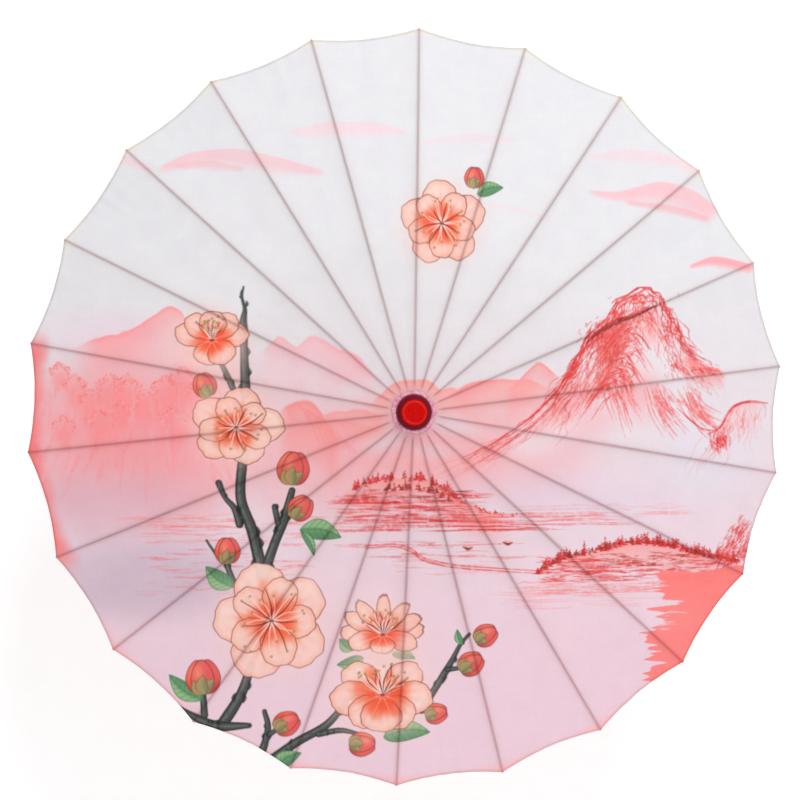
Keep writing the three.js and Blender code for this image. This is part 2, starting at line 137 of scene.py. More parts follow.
# ---------------------------------------------------------------- the print
class Sheet:
    """A square of colour painted in layers."""

    def __init__(self, half, step, seed):
        self.half, self.step = half, step
        self.size = int(round(2 * half / step))
        self.rgb = np.ones((self.size, self.size, 3), np.float32)
        self.rng = np.random.default_rng(seed)
        self.grain = self.clouds((520, 260))
        self.mottle = self.clouds((150, 70, 35))
        self.drift = self.clouds((40, 18, 9))

    def clouds(self, cells):
        total = np.zeros((self.size, self.size), np.float32)
        weight = 1.0
        for count in reversed(cells):
            total += weight * self.noise(count)
            weight *= 0.55
        total -= total.min()
        return total / total.max()

    def noise(self, cells):
        grid = self.rng.random((cells + 2, cells + 2)).astype(np.float32)
        at = np.linspace(0, cells, self.size, endpoint=False)
        low = at.astype(int)
        part = (at - low).astype(np.float32)
        part = part * part * (3 - 2 * part)
        rows = grid[low] * (1 - part)[:, None] + grid[low + 1] * part[:, None]
        return rows[:, low] * (1 - part) + rows[:, low + 1] * part

    def window(self, x0, y0, x1, y1):
        """The slices of a box in millimetres, and the x and y of its points."""
        edges = [(v + self.half) / self.step for v in (x0, x1, y0, y1)]
        a, b, c, d = [int(np.clip(round(v), 0, self.size)) for v in edges]
        xs = (np.arange(a, b, dtype=np.float32) + 0.5) * self.step - self.half
        ys = (np.arange(c, d, dtype=np.float32) + 0.5) * self.step - self.half
        return (slice(c, d), slice(a, b)), xs[None, :], ys[:, None]

    def lay(self, where, colour, share):
        part = self.rgb[where]
        self.rgb[where] = mixed(part, np.asarray(colour, np.float32), np.clip(share, 0, 1))

    def sample(self, x, y):
        """Colours at points in millimetres, between the nearest four."""
        u = np.clip((x + self.half) / self.step - 0.5, 0, self.size - 1.001)
        v = np.clip((y + self.half) / self.step - 0.5, 0, self.size - 1.001)
        i, j = u.astype(int), v.astype(int)
        fu, fv = (u - i)[:, None], (v - j)[:, None]
        low = self.rgb[j, i] * (1 - fu) + self.rgb[j, i + 1] * fu
        high = self.rgb[j + 1, i] * (1 - fu) + self.rgb[j + 1, i + 1] * fu
        return low * (1 - fv) + high * fv


def curve_through(points, steps=7):
    """A smooth line through a few points."""
    p = np.asarray(points, np.float32)
    if len(p) < 3:
        return p
    padded = np.vstack([2 * p[0] - p[1], p, 2 * p[-1] - p[-2]])
    line = []
    for i in range(len(p) - 1):
        a, b, c, d = padded[i : i + 4]
        bend = 2 * a - 5 * b + 4 * c - d
        twist = 3 * b - a - 3 * c + d
        for t in np.arange(steps) / steps:
            line.append(0.5 * (2 * b + (c - a) * t + bend * t**2 + twist * t**3))
    line.append(p[-1])
    return np.asarray(line, np.float32)


def line_distance(line, xs, ys):
    """Distance from each point to a line, how far along the line is nearest (0 to 1), and the side."""
    best = np.full(np.broadcast_shapes(xs.shape, ys.shape), 1e9, np.float32)
    along = np.zeros_like(best)
    side = np.zeros_like(best)
    lengths = np.hypot(*np.diff(line, axis=0).T)
    total = max(float(lengths.sum()), 1e-6)
    done = 0.0
    for (ax, ay), (bx, by), length in zip(line[:-1], line[1:], lengths):
        if length < 1e-6:
            continue
        dx, dy = (bx - ax) / length, (by - ay) / length
        t = np.clip((xs - ax) * dx + (ys - ay) * dy, 0, length)
        px, py = xs - ax - t * dx, ys - ay - t * dy
        away = np.hypot(px, py)
        nearer = away < best
        best = np.where(nearer, away, best)
        along = np.where(nearer, (done + t) / total, along)
        side = np.where(nearer, np.sign(dx * py - dy * px), side)
        done += length
    return best, along, side


def stroke(sheet, points, widths, colour, strength=1.0, dry=0.0, soft=0.7, edge=None):
    """A brush line whose width runs through the given widths; dry breaks it up, edge darkens its rim."""
    line = curve_through(points)
    margin = max(widths) + 3
    low, high = line.min(0) - margin, line.max(0) + margin
    where, xs, ys = sheet.window(low[0], low[1], high[0], high[1])
    away, along, _ = line_distance(line, xs, ys)
    half = np.interp(along, np.linspace(0, 1, len(widths)), widths) / 2
    ragged = half * (1 + 0.5 * dry * (sheet.mottle[where] - 0.5) * 2)
    cover = 1 - smooth(-soft, soft, away - ragged)
    if dry:
        cover = cover * (1 - dry * smooth(0.45, 0.75, sheet.grain[where]))
    sheet.lay(where, colour, cover * strength)
    if edge is not None:
        rim = smooth(0.45, 0.95, away / np.maximum(ragged, 0.3)) * cover
        sheet.lay(where, edge, rim * 0.75 * strength)
        streak = smooth(0.5, 0.8, sheet.grain[where]) * cover
        sheet.lay(where, edge, streak * 0.35 * strength)


def wash(sheet, line, depth, colour, strength, soft=3.0, ragged=6.0, fade=1.0):
    """Watercolour below a skyline: full at the line, gone by depth under it."""
    skyline = curve_through(line)
    x0, x1 = skyline[0, 0], skyline[-1, 0]
    where, xs, ys = sheet.window(x0, skyline[:, 1].min() - depth, x1, skyline[:, 1].max() + 12)
    top = np.interp(xs[0], skyline[:, 0], skyline[:, 1])[None, :]
    top = top + ragged * (sheet.mottle[where] - 0.5)
    under = top - ys
    blur = 0.22 * (x1 - x0)
    sway = 0.5 * blur * (sheet.drift[where] - 0.5)
    ends = smooth(0, blur, xs - x0 + sway) * smooth(0, blur, x1 - xs + sway)
    cover = smooth(-soft, soft, under) * np.clip(1 - under / depth, 0, 1) ** fade * ends
    cover = cover * (0.75 + 0.5 * (sheet.drift[where] - 0.3))
    rim = np.exp(-(((under - 1.5) / 2.0) ** 2)) * 0.25 * ends
    sheet.lay(where, colour, (cover + rim) * strength)


def glow(sheet, x, y, rx, ry, colour, strength, turn=0.0):
    """A soft round stain."""
    reach = 1.6 * max(rx, ry)
    where, xs, ys = sheet.window(x - reach, y - reach, x + reach, y + reach)
    c, s = math.cos(turn), math.sin(turn)
    u, v = (xs - x) * c + (ys - y) * s, -(xs - x) * s + (ys - y) * c
    far = np.hypot(u / rx, v / ry) + 0.35 * (sheet.drift[where] - 0.5)
    sheet.lay(where, colour, strength * (1 - smooth(0.15, 1.15, far)))


def band(sheet, points, widths, colour, strength):
    """A drifting cloud: crisp on top, fading below."""
    line = curve_through(points)
    margin = 2 * max(widths)
    low, high = line.min(0) - margin, line.max(0) + margin
    where, xs, ys = sheet.window(low[0], low[1], high[0], high[1])
    away, along, side = line_distance(line, xs, ys)
    half = np.interp(along, np.linspace(0, 1, len(widths)), widths) / 2
    above = away * side
    wobble = 2.5 * (sheet.mottle[where] - 0.5)
    cover = smooth(1.5, -1.5, above - 0.35 * half + wobble) * smooth(-1.7, -0.3, above / half)
    cover = cover * smooth(0, 0.08, along) * smooth(1, 0.92, along) * (away < 2 * half)
    sheet.lay(where, colour, cover * strength * (0.8 + 0.4 * sheet.drift[where]))


# Colours of the print.
BLUSH = (0.985, 0.815, 0.775)
CREAM = (0.992, 0.895, 0.845)
PEACH = (0.975, 0.610, 0.480)
CORAL = (0.965, 0.330, 0.200)
ROSE = (0.890, 0.330, 0.340)
OUTLINE = (0.420, 0.170, 0.150)
SEPAL = (0.700, 0.590, 0.390)
SEPAL_MIDDLE = (0.620, 0.600, 0.420)
SEPAL_DARK = (0.430, 0.360, 0.220)
BUD_LIGHT = (0.930, 0.420, 0.380)
STAMEN = (0.995, 0.880, 0.840)
ANTHER = (0.800, 0.720, 0.380)
LEAF = (0.400, 0.610, 0.410)
LEAF_LIGHT = (0.560, 0.730, 0.510)
LEAF_DARK = (0.200, 0.420, 0.290)
BARK = (0.270, 0.290, 0.280)
BARK_DARK = (0.110, 0.120, 0.120)
BARK_LIGHT = (0.520, 0.560, 0.520)
WASH_SALMON = (0.995, 0.550, 0.540)
MIST = (0.900, 0.880, 0.920)
BRUSH_RED = (0.880, 0.220, 0.220)
BRUSH_DARK = (0.560, 0.110, 0.110)

# The flowers. A petal is its angle, its share of the flower's reach and its breadth.
OUTLINE_WIDTH = 0.55
RAY_COUNT = 16
STAMEN_COUNT = 21
HALF_OPEN = (
    (2.9, 0.95, 0.34), (0.3, 0.95, 0.34), (2.3, 0.9, 0.36), (0.9, 0.9, 0.36),
    (1.57, 0.8, 0.42), (-1.9, 0.7, 0.5), (-1.0, 0.7, 0.5),
)
FROM_SIDE = (
    (0.1, 1.0, 0.24), (3.04, 1.0, 0.24), (0.5, 1.0, 0.2), (2.64, 1.0, 0.2),
    (0.95, 1.0, 0.17), (2.2, 1.0, 0.17), (1.57, 0.95, 0.16), (-0.35, 0.85, 0.28),
    (3.5, 0.85, 0.28), (-1.57, 0.45, 0.6),
)
TILTED = (
    (2.4, 0.95, 0.36), (0.7, 0.95, 0.36), (3.25, 1.0, 0.36), (-0.15, 1.0, 0.36), (-2.2, 0.8, 0.42),
    (-0.95, 0.8, 0.42), (-1.57, 0.75, 0.5),
)


def petal(sheet, x, y, angle, reach, breadth, squeeze, tint, wave):
    """One petal, drawn from the flower's centre outward: deep at its root, pale at its rim, outlined."""
    where, xs, ys = sheet.window(x - 1.3 * reach, y - 1.3 * reach, x + 1.3 * reach, y + 1.3 * reach)
    dx, dy = (xs - x) / squeeze[0], (ys - y) / squeeze[1]
    c, s = math.cos(angle), math.sin(angle)
    u, v = dx * c + dy * s, -dx * s + dy * c
    middle, long_half, wide_half = 0.57 * reach, 0.43 * reach, breadth * reach
    around = np.arctan2(v / wide_half, (u - middle) / long_half)
    ripple = 1 + 0.022 * np.sin(5 * around + wave) + 0.014 * np.sin(11 * around + 2 * wave)
    ripple = ripple - 0.05 * np.exp(-(((around - 0.2 * math.sin(wave)) / 0.22) ** 2))
    size = np.hypot((u - middle) / long_half, v / wide_half) / ripple
    away = (size - 1) * min(long_half, wide_half)
    cover = 1 - smooth(-0.5, 0.7, away)
    depth = np.clip(u / reach, 0, 1)
    blots = sheet.mottle[where] - 0.5
    root = 1 - smooth(0.10, 0.66, depth + 0.35 * blots)
    veins = 0.5 + 0.5 * np.sin(30 * np.arctan2(v, u + 0.2 * reach) + 5 * sheet.drift[where])
    body = mixed(tint, BLUSH, smooth(0.28, 0.70, depth + 0.4 * blots))
    body = mixed(body, CREAM, 0.75 * smooth(0.35, 0.8, sheet.drift[where]) * smooth(0.3, 0.8, depth))
    body = mixed(body, CORAL, root * 0.9)
    body = mixed(body, CORAL, veins * 0.20 * (1 - smooth(0.35, 0.95, depth)))
    body = mixed(body, PEACH, np.exp(-((away + 2.2) ** 2) / 7.0) * (0.1 + 0.4 * sheet.mottle[where]))
    sheet.lay(where, body, cover * 0.94)
    outline = np.exp(-((away / OUTLINE_WIDTH) ** 2)) * (0.35 + 0.5 * sheet.mottle[where])
    sheet.lay(where, OUTLINE, outline * smooth(0.1, 0.3, depth))


def stamens(sheet, x, y, reach, fan, count, squeeze):
    """Pale and dark threads from the centre, tipped with pollen."""
    rng = sheet.rng
    for k in range(count):
        angle = fan[0] + (fan[1] - fan[0]) * (k + rng.uniform(0.2, 0.8)) / count
        far = reach * rng.uniform(0.34, 0.66)
        bend = angle + rng.uniform(-0.22, 0.22)
        tip = (x + far * math.cos(bend) * squeeze[0], y + far * math.sin(bend) * squeeze[1])
        half = (x + 0.5 * far * math.cos(angle) * squeeze[0], y + 0.5 * far * math.sin(angle) * squeeze[1])
        thread = OUTLINE if k % 3 == 0 else STAMEN
        stroke(sheet, [(x, y), half, tip], (1.5, 1.2, 0.9), thread, 0.85, soft=0.45)
        pollen = [tip, (tip[0] + 0.3, tip[1] + 0.3)]
        stroke(sheet, pollen, (2.7, 2.7), OUTLINE, 0.5, soft=0.45)
        stroke(sheet, pollen, (1.7, 1.7), ANTHER, 0.95, soft=0.35)


def blossom(
    sheet, x, y, reach, turn=0.0, squeeze=(1.0, 1.0), tint=PEACH, petals=None, breadth=0.40, fan=None
):
    """An open flower: a ring of petals with a smaller one inside it, or the given petals.

    A given petal is its angle, its share of the reach and its breadth.
    """
    rng = sheet.rng
    glow(sheet, x, y, 1.2 * reach * squeeze[0], 1.2 * reach * squeeze[1], BLUSH, 0.7)
    if petals is None:
        outer = [(turn + 2 * math.pi * k / 5, 1.0, breadth) for k in rng.permutation(5)]
        inner = [(turn + 0.63 + 2 * math.pi * k / 5, 0.78, breadth * 0.9) for k in rng.permutation(5)]
        petals = outer + inner
    for angle, size, wide in petals:
        far = reach * size * rng.uniform(0.95, 1.05)
        petal(sheet, x, y, angle + rng.uniform(-0.06, 0.06), far, wide, squeeze, tint, rng.uniform(0, 6))
    glow(sheet, x, y, 0.34 * reach * squeeze[0], 0.34 * reach * squeeze[1], CORAL, 0.8)
    for k in range(RAY_COUNT):
        angle = turn + 2 * math.pi * k / RAY_COUNT
        ends = [
            (x + far * reach * math.cos(angle) * squeeze[0], y + far * reach * math.sin(angle) * squeeze[1])
            for far in (0.06, rng.uniform(0.3, 0.5))
        ]
        stroke(sheet, ends, (0.9, 0.5), CREAM if k % 2 else CORAL, 0.5, soft=0.5)
    stamens(sheet, x, y, reach, fan or (turn, turn + 2 * math.pi), STAMEN_COUNT, squeeze)
    stroke(sheet, [(x - 1, y), (x + 1, y)], (3.0, 3.0), BRUSH_DARK, 0.75)


def blade(sheet, x, y, length, turn, width, light, middle, dark, ribbed=True):
    """A pointed leaf shape growing from (x, y) along turn."""
    reach = 1.15 * length
    where, xs, ys = sheet.window(x - reach, y - reach, x + reach, y + reach)
    c, s = math.cos(turn), math.sin(turn)
    u = ((xs - x) * c + (ys - y) * s) / length
    v = (-(xs - x) * s + (ys - y) * c) / length
    v = v - 0.10 * np.sin(math.pi * np.clip(u, 0, 1))
    inside = np.clip(u, 0, 1)
    half = width * 0.5 * np.maximum(0, np.sin(math.pi * inside**0.8)) ** 0.85
    away = np.where((u > 0) & (u < 1), np.abs(v) - half, np.hypot(v, np.maximum(-u, u - 1))) * length
    cover = 1 - smooth(-0.5, 0.5, away)
    lit = mixed(middle, light, smooth(0.0, 0.10, v + 0.1 * (sheet.mottle[where] - 0.5)))
    sheet.lay(where, mixed(lit, dark, smooth(0.0, -0.18, v) * 0.35), cover * 0.95)
    if ribbed:
        veins = 0.5 + 0.5 * np.sin(44 * (u - 0.7 * np.abs(v)))
        sheet.lay(where, dark, 0.40 * smooth(0.86, 1.0, veins) * cover)
        sheet.lay(where, dark, np.exp(-((v * length / 0.5) ** 2)) * cover * 0.7)
    sheet.lay(where, dark, np.exp(-((away / 0.5) ** 2)) * 0.75)


def leaf(sheet, x, y, length, turn, width):
    blade(sheet, x, y, length, turn, width, LEAF_LIGHT, LEAF, LEAF_DARK)


def bud(sheet, x, y, radius, turn):
    """A round closed bud facing along turn, in a cup of pointed sepals."""
    tip = (math.cos(turn), math.sin(turn))
    where, xs, ys = sheet.window(x - 2 * radius, y - 2 * radius, x + 2 * radius, y + 2 * radius)
    u = (xs - x) * tip[0] + (ys - y) * tip[1]
    v = -(xs - x) * tip[1] + (ys - y) * tip[0]
    for offset, wide, tint in ((-0.28, 0.72, ROSE), (0.28, 0.72, CORAL), (0.04, 0.66, ROSE)):
        taper = 1 - 0.22 * np.clip(u / radius, 0, 1)
        size = np.hypot((u - 0.05 * radius) / radius, (v - offset * radius) / (wide * radius * taper))
        away = (size - 1) * wide * radius
        cover = 1 - smooth(-0.5, 0.5, away)
        shine = np.exp(-(((u / radius - 0.30) / 0.45) ** 2) - ((v / radius - offset - 0.22) / 0.28) ** 2)
        body = mixed(mixed(tint, BUD_LIGHT, sheet.mottle[where]), PEACH, 0.65 * shine)
        body = mixed(body, BRUSH_DARK, 0.35 * smooth(0.1, -0.8, u / radius))
        sheet.lay(where, body, cover)
        sheet.lay(where, OUTLINE, np.exp(-((away / OUTLINE_WIDTH) ** 2)) * 0.6)
    base = (x - 0.98 * radius * tip[0], y - 0.98 * radius * tip[1])
    for lean, share in ((0.62, 1.05), (-0.62, 1.05), (0.0, 1.15)):
        blade(sheet, *base, radius * share, turn + lean, 0.62, SEPAL, SEPAL_MIDDLE, SEPAL_DARK, ribbed=False)


def branch(sheet, points, widths):
    """Rough bark: a dark line with knots, paler where it catches light."""
    stroke(sheet, points, widths, BARK, 1.0, dry=0.12, edge=BARK_DARK)
    line = curve_through(points)
    local = np.interp(np.linspace(0, 1, len(line)), np.linspace(0, 1, len(widths)), widths)
    for k in sheet.rng.integers(0, len(line), max(2, len(line) // 4)):
        wide = local[k]
        px, py = line[k]
        side = sheet.rng.choice((-1, 1)) * 0.42 * wide
        knot = [(px + side, py - 0.4 * wide), (px + 1.25 * side, py), (px + side, py + 0.4 * wide)]
        stroke(sheet, knot, (0.2 * wide, 0.45 * wide, 0.2 * wide), BARK_DARK, 0.8, dry=0.2)
    pale = [(px - 0.12 * max(widths), py) for px, py in points]
    stroke(sheet, pale, [0.30 * w for w in widths], BARK_LIGHT, 0.45, dry=0.7)


def repeat(paint, sheet, rows):
    """One call of a painting function for each row of its values."""
    for row in rows:
        paint(sheet, *row)


def backdrop(sheet):
    """Lilac white at the top, warming to pink below, with pink mist at both sides of the hub."""
    where, xs, ys = sheet.window(-PRINT_HALF, -PRINT_HALF, PRINT_HALF, PRINT_HALF)
    sheet.lay(where, (0.900, 0.902, 0.914), 1.0)
    sheet.lay(where, (0.935, 0.815, 0.862), smooth(200, -330, ys + 0 * xs))
    repeat(glow, sheet, (
        (-330, 80, 90, 40, (0.930, 0.830, 0.880), 0.6),
        (-310, -30, 190, 110, (0.970, 0.620, 0.640), 0.95),
        (-70, -50, 210, 90, (0.985, 0.700, 0.725), 0.75),
        (90, -50, 170, 66, (0.985, 0.710, 0.730), 0.70),
        (190, -96, 200, 44, (0.905, 0.830, 0.890), 0.6),
        (-330, -100, 110, 46, (0.850, 0.690, 0.750), 0.5),
        (-280, -190, 150, 60, (0.800, 0.710, 0.770), 0.75),
        (330, -60, 70, 60, (0.900, 0.880, 0.920), 0.7),
    ))
    far = np.hypot(xs, ys)
    red_rim = smooth(396, 416, far + 10 * (sheet.mottle[where] - 0.5))
    left_side = smooth(92, 60, ys) * smooth(-190, -150, ys) * smooth(-60, -280, xs)
    sheet.lay(where, (0.985, 0.480, 0.480), red_rim * left_side * 0.85)
    sheet.lay(where, (0.985, 0.740, 0.760), smooth(404, 420, far) * smooth(-120, -300, ys) * 0.8)
    sheet.lay(where, (0.955, 0.930, 0.850), smooth(408, 420, far) * smooth(60, 200, ys) * 0.5)


def hub_mist(sheet):
    """Flat pale red washes with uneven upper edges round the hub, and pale gaps between them."""
    above = [(-56, 2), (-40, 16), (-24, 30), (-4, 36), (18, 35), (30, 25), (46, 27), (66, 12)]
    right = [(30, 16), (62, 30), (96, 36), (130, 34), (164, 20)]
    left = [(-110, -8), (-84, 0), (-56, 2), (-26, -8)]
    far_left = [(-150, -30), (-110, -12), (-70, -10), (-30, -22)]
    below = [(-40, -52), (0, -46), (40, -52), (80, -60)]
    repeat(wash, sheet, (
        (above, 44, (1.0, 0.690, 0.675), 0.95, 1.2, 5, 0.6),
        (right, 56, (1.0, 0.640, 0.640), 1.05, 1.5, 5, 0.8),
        (left, 40, (0.990, 0.640, 0.630), 0.75, 2, 6, 0.7),
        (far_left, 52, (0.990, 0.640, 0.640), 0.70, 2),
        (below, 40, (0.990, 0.710, 0.710), 0.55, 3),
    ))
    gap = (0.915, 0.850, 0.880)
    repeat(glow, sheet, (
        (-68, 22, 34, 16, gap, 0.75, 0.35),
        (44, -14, 40, 15, gap, 0.75, -0.25),
        (-34, -34, 36, 15, gap, 0.60, 0.3),
        (20, -44, 26, 13, gap, 0.45),
    ))


def clouds_and_far_hills(sheet):
    pale, warm = (0.960, 0.845, 0.875), (0.980, 0.745, 0.775)
    repeat(band, sheet, (
        ([(-280, 262), (-250, 276), (-205, 284), (-148, 276), (-90, 262)], (8, 20, 24, 22, 6), warm, 0.62),
        ([(-262, 268), (-224, 272), (-180, 266)], (6, 14, 6), (0.985, 0.700, 0.730), 0.4),
        ([(-135, 306), (-90, 314), (-40, 314), (0, 308)], (8, 22, 20, 6), pale, 0.8),
        ([(10, 296), (60, 304), (120, 300)], (6, 14, 6), pale, 0.45),
        ([(-345, 262), (-315, 276), (-280, 262)], (8, 14, 6), pale, 0.7),
        ([(196, 282), (250, 286), (300, 278), (330, 262)], (6, 18, 18, 10), pale, 0.6),
        ([(196, 244), (236, 240), (280, 248), (318, 238), (350, 216)], (5, 14, 30, 34, 22), warm, 0.7),
        ([(240, 232), (290, 226), (340, 212)], (5, 12, 8), (0.985, 0.680, 0.710), 0.5),
        ([(312, 160), (345, 168), (390, 158)], (5, 16, 12), (0.985, 0.690, 0.720), 0.9),
        ([(60, 232), (110, 226), (160, 214)], (4, 9, 4), pale, 0.35),
    ))
    left = [
        (-372, 66), (-340, 78), (-312, 84), (-292, 96), (-270, 112),
        (-252, 106), (-240, 84), (-224, 92), (-206, 70),
    ]
    middle = [(-180, 56), (-160, 74), (-146, 84), (-128, 72), (-110, 86), (-84, 70), (-60, 58), (-34, 30)]
    near = [(-150, -4), (-136, 8), (-118, 12), (-104, 2), (-92, -18), (-76, -40)]
    right = [(100, 20), (118, 34), (134, 50), (142, 55), (152, 48), (170, 32)]
    wash(sheet, left, 74, (0.990, 0.630, 0.640), 0.95, soft=1.6, ragged=9)
    wash(sheet, middle, 74, (0.985, 0.720, 0.755), 0.9, soft=2.5, ragged=9)
    wash(sheet, near, 70, WASH_SALMON, 0.8, ragged=5)
    for k in range(7):
        points = [(-126 + 5 * k, 8 - 3 * k), (-112 + 6 * k, -14 - 3 * k), (-104 + 7 * k, -34 - 2 * k)]
        stroke(sheet, points, (0.8, 1.4, 0.5), (0.955, 0.440, 0.440), 0.55, dry=0.6)
    wash(sheet, right, 46, (0.990, 0.600, 0.600), 0.95, soft=1.2, ragged=3)


def crown(sheet, x, y, radius):
    """A treetop in mist: a soft body with a rim of small dabs, crumbling downwards."""
    rng = sheet.rng
    glow(sheet, x, y - 0.6 * radius, 1.3 * radius, 1.8 * radius, (0.990, 0.560, 0.570), 0.62)
    for _ in range(int(7.5 * radius)):
        angle = rng.uniform(-0.35, math.pi + 0.35)
        far = radius * (1 - 0.45 * rng.random() ** 2) * (1 + 0.12 * math.sin(5 * angle))
        px, py = x + far * math.cos(angle), y + far * math.sin(angle)
        tone = mixed((0.970, 0.420, 0.420), (0.995, 0.700, 0.690), rng.random())
        dab = [(px, py), (px + rng.uniform(-0.9, 0.9), py + rng.uniform(-0.9, 0.9))]
        stroke(sheet, dab, (1.6, 1.2), tone, 0.6)
    for _ in range(int(0.5 * radius)):
        px, py = x + rng.uniform(-0.7, 0.7) * radius, y - rng.uniform(0.2, 1.6) * radius
        length = rng.uniform(0.5, 1.5) * radius
        points = [(px, py), (px + rng.normal(0, 2), py - 0.5 * length), (px + rng.normal(0, 3), py - length)]
        stroke(sheet, points, (1.0, rng.uniform(1.2, 3.5), 0.6), (0.985, 0.560, 0.560), 0.35, dry=0.75)


def misty_grove(sheet):
    """Trees in mist at the left, in front of streaked slopes."""
    repeat(crown, sheet, (
        (-384, 40, 11), (-368, 26, 12), (-352, 10, 12), (-330, 24, 15), (-312, 22, 16), (-292, 8, 13),
        (-270, 22, 15), (-252, 34, 14), (-238, 20, 12), (-340, -14, 15), (-318, -4, 13), (-380, -20, 12),
        (-262, -10, 15),
    ))
    rng = sheet.rng
    for _ in range(110):
        x, y = rng.uniform(-400, -200), rng.uniform(-60, 34)
        length = rng.uniform(14, 60)
        lean = rng.normal(0, 6) + 0.12 * (x + 300)
        points = [(x, y), (x + 0.3 * lean, y - 0.5 * length), (x + lean, y - length)]
        tone = mixed((0.985, 0.540, 0.550), MIST, 0.55 * rng.random())
        stroke(sheet, points, (1.0, rng.uniform(1.5, 7.0), 0.8), tone, 0.22 + 0.2 * rng.random(), dry=0.7)


def crag(sheet, ridge, count, depth, spread, strength, centre):
    """Rock drawn by broken lines that run down from a ridge, away from its top."""
    rng = sheet.rng
    line = curve_through(ridge, steps=14)
    for _ in range(count):
        t = np.clip(rng.beta(1.6, 1.6), 0, 0.999)
        start = line[int(t * len(line))]
        outward = (t - centre) * spread
        x, y = start[0] + rng.normal(0, 2), start[1] - rng.uniform(0, 0.7) ** 1.5 * depth
        step = rng.uniform(3, 10)
        points = [(x, y)]
        for _ in range(rng.integers(3, 6)):
            x += step * (0.8 * outward + rng.normal(0, 0.38))
            y -= step * rng.uniform(0.6, 1.2)
            points.append((x, y))
        fallen = np.clip((start[1] - y) / depth, 0, 1)
        tone = mixed(BRUSH_RED, BRUSH_DARK, 0.8 * rng.random() ** 4)
        tone = mixed(tone, (0.975, 0.560, 0.560), 0.75 * fallen)
        thick = rng.uniform(0.5, 1.5)
        share = strength * (1 - 0.55 * fallen)
        stroke(sheet, points, (0.5, thick, thick, 0.5), tone, share, dry=0.55, soft=0.5)


def hatching(sheet, x, y, rx, ry, turn, count, colour, strength):
    """A patch of short parallel dry strokes."""
    rng = sheet.rng
    for _ in range(count):
        u, v = rng.normal(0, 0.45, 2)
        px, py = x + u * rx, y + v * ry
        length = rng.uniform(2.5, 8)
        angle = turn + rng.normal(0, 0.25)
        end = (px + length * math.cos(angle), py + length * math.sin(angle))
        widths = (rng.uniform(0.7, 2.0), 0.5)
        stroke(sheet, [(px, py), end], widths, colour, strength * rng.uniform(0.5, 1), dry=0.5)


def slope_shade(sheet, ridge):
    """A pale ground under the mountain's ridge, with pink stains on its flanks."""
    where, xs, ys = sheet.window(80, -80, 330, 150)
    line = curve_through(ridge)
    top = np.interp(xs[0], line[:, 0], line[:, 1])[None, :]
    under = top + 4 * (sheet.mottle[where] - 0.5) - ys
    fade = smooth(120, 10, under) * smooth(330, 290, xs) * smooth(-80, -30, ys) * smooth(84, 130, xs)
    sheet.lay(where, (0.945, 0.900, 0.925), smooth(-1, 1, under) * fade * 0.8)
    repeat(glow, sheet, (
        (226, 76, 26, 42, (0.985, 0.560, 0.550), 0.85, -0.3),
        (268, 96, 18, 34, (0.990, 0.680, 0.680), 0.8, 0.3),
        (252, 20, 40, 50, (0.985, 0.680, 0.690), 0.65),
        (176, 10, 66, 22, (0.985, 0.660, 0.660), 0.7, 0.62),
        (206, -6, 46, 34, (0.970, 0.740, 0.760), 0.6),
    ))


def flank_lines(sheet):
    """Gullies at the mountain's foot, and strokes that part from its spine to either side."""
    rng = sheet.rng
    for x, y, dx, length in (
        (216, 40, 12, 66), (224, 38, 16, 62), (262, 24, 22, 54),
        (270, 20, 26, 50), (300, 20, 28, 52), (308, 10, 30, 44),
    ):
        for k in range(12):
            sx, sy = x + 1.8 * k + rng.normal(0, 1.5), y + rng.normal(0, 6)
            long = length * rng.uniform(0.4, 1.0)
            points = [(sx, sy), (sx + 0.35 * dx, sy - 0.55 * long), (sx + dx, sy - long)]
            stroke(sheet, points, (0.6, 1.6, 0.5), (0.950, 0.420, 0.420), 0.65, dry=0.6, soft=0.5)
    for side, count, share in ((-1, 130, 1), (1, 60, 0.7)):
        for _ in range(count):
            down = rng.random()
            sx, sy = 252 - 26 * down + rng.normal(0, 6), 112 - 88 * down + rng.normal(0, 4)
            long = rng.uniform(16, 44) * share
            bend = (sx + side * 0.42 * long, sy - 0.16 * long)
            end = (sx + side * 0.82 * long, sy - 0.72 * long)
            tone = mixed(BRUSH_RED, (0.970, 0.560, 0.540), 0.8 * rng.random())
            stroke(sheet, [(sx, sy), bend, end], (0.6, 1.4, 0.6), tone, 0.65, dry=0.5, soft=0.5)


def right_shoulder(sheet):
    """A low rock at the right edge, joined to the mountain by a faint ridge."""
    faint = [(304, 60), (316, 56), (334, 48), (350, 44), (358, 34)]
    wash(sheet, faint, 26, WASH_SALMON, 0.85, soft=1.5, ragged=4)
    hatching(sheet, 330, 44, 18, 6, -0.3, 50, BRUSH_RED, 0.55)
    saddle = [(300, 2), (318, -14), (330, -22), (346, -24)]
    stroke(sheet, saddle, (0.8, 1.6, 1.8, 1.0), BRUSH_RED, 0.8, dry=0.4)
    shoulder = [(336, -28), (350, -20), (358, -6), (368, 4), (384, 8), (404, 6)]
    wash(sheet, shoulder, 44, (0.975, 0.740, 0.750), 0.7)
    crag(sheet, shoulder, 60, 36, 0.8, 0.7, 0.9)
    stroke(sheet, shoulder, (1.2, 2.4, 3.4, 3.0, 1.6), BRUSH_RED, 0.85, dry=0.4)
    hatching(sheet, 348, -34, 14, 12, -1.3, 90, BRUSH_RED, 0.75)


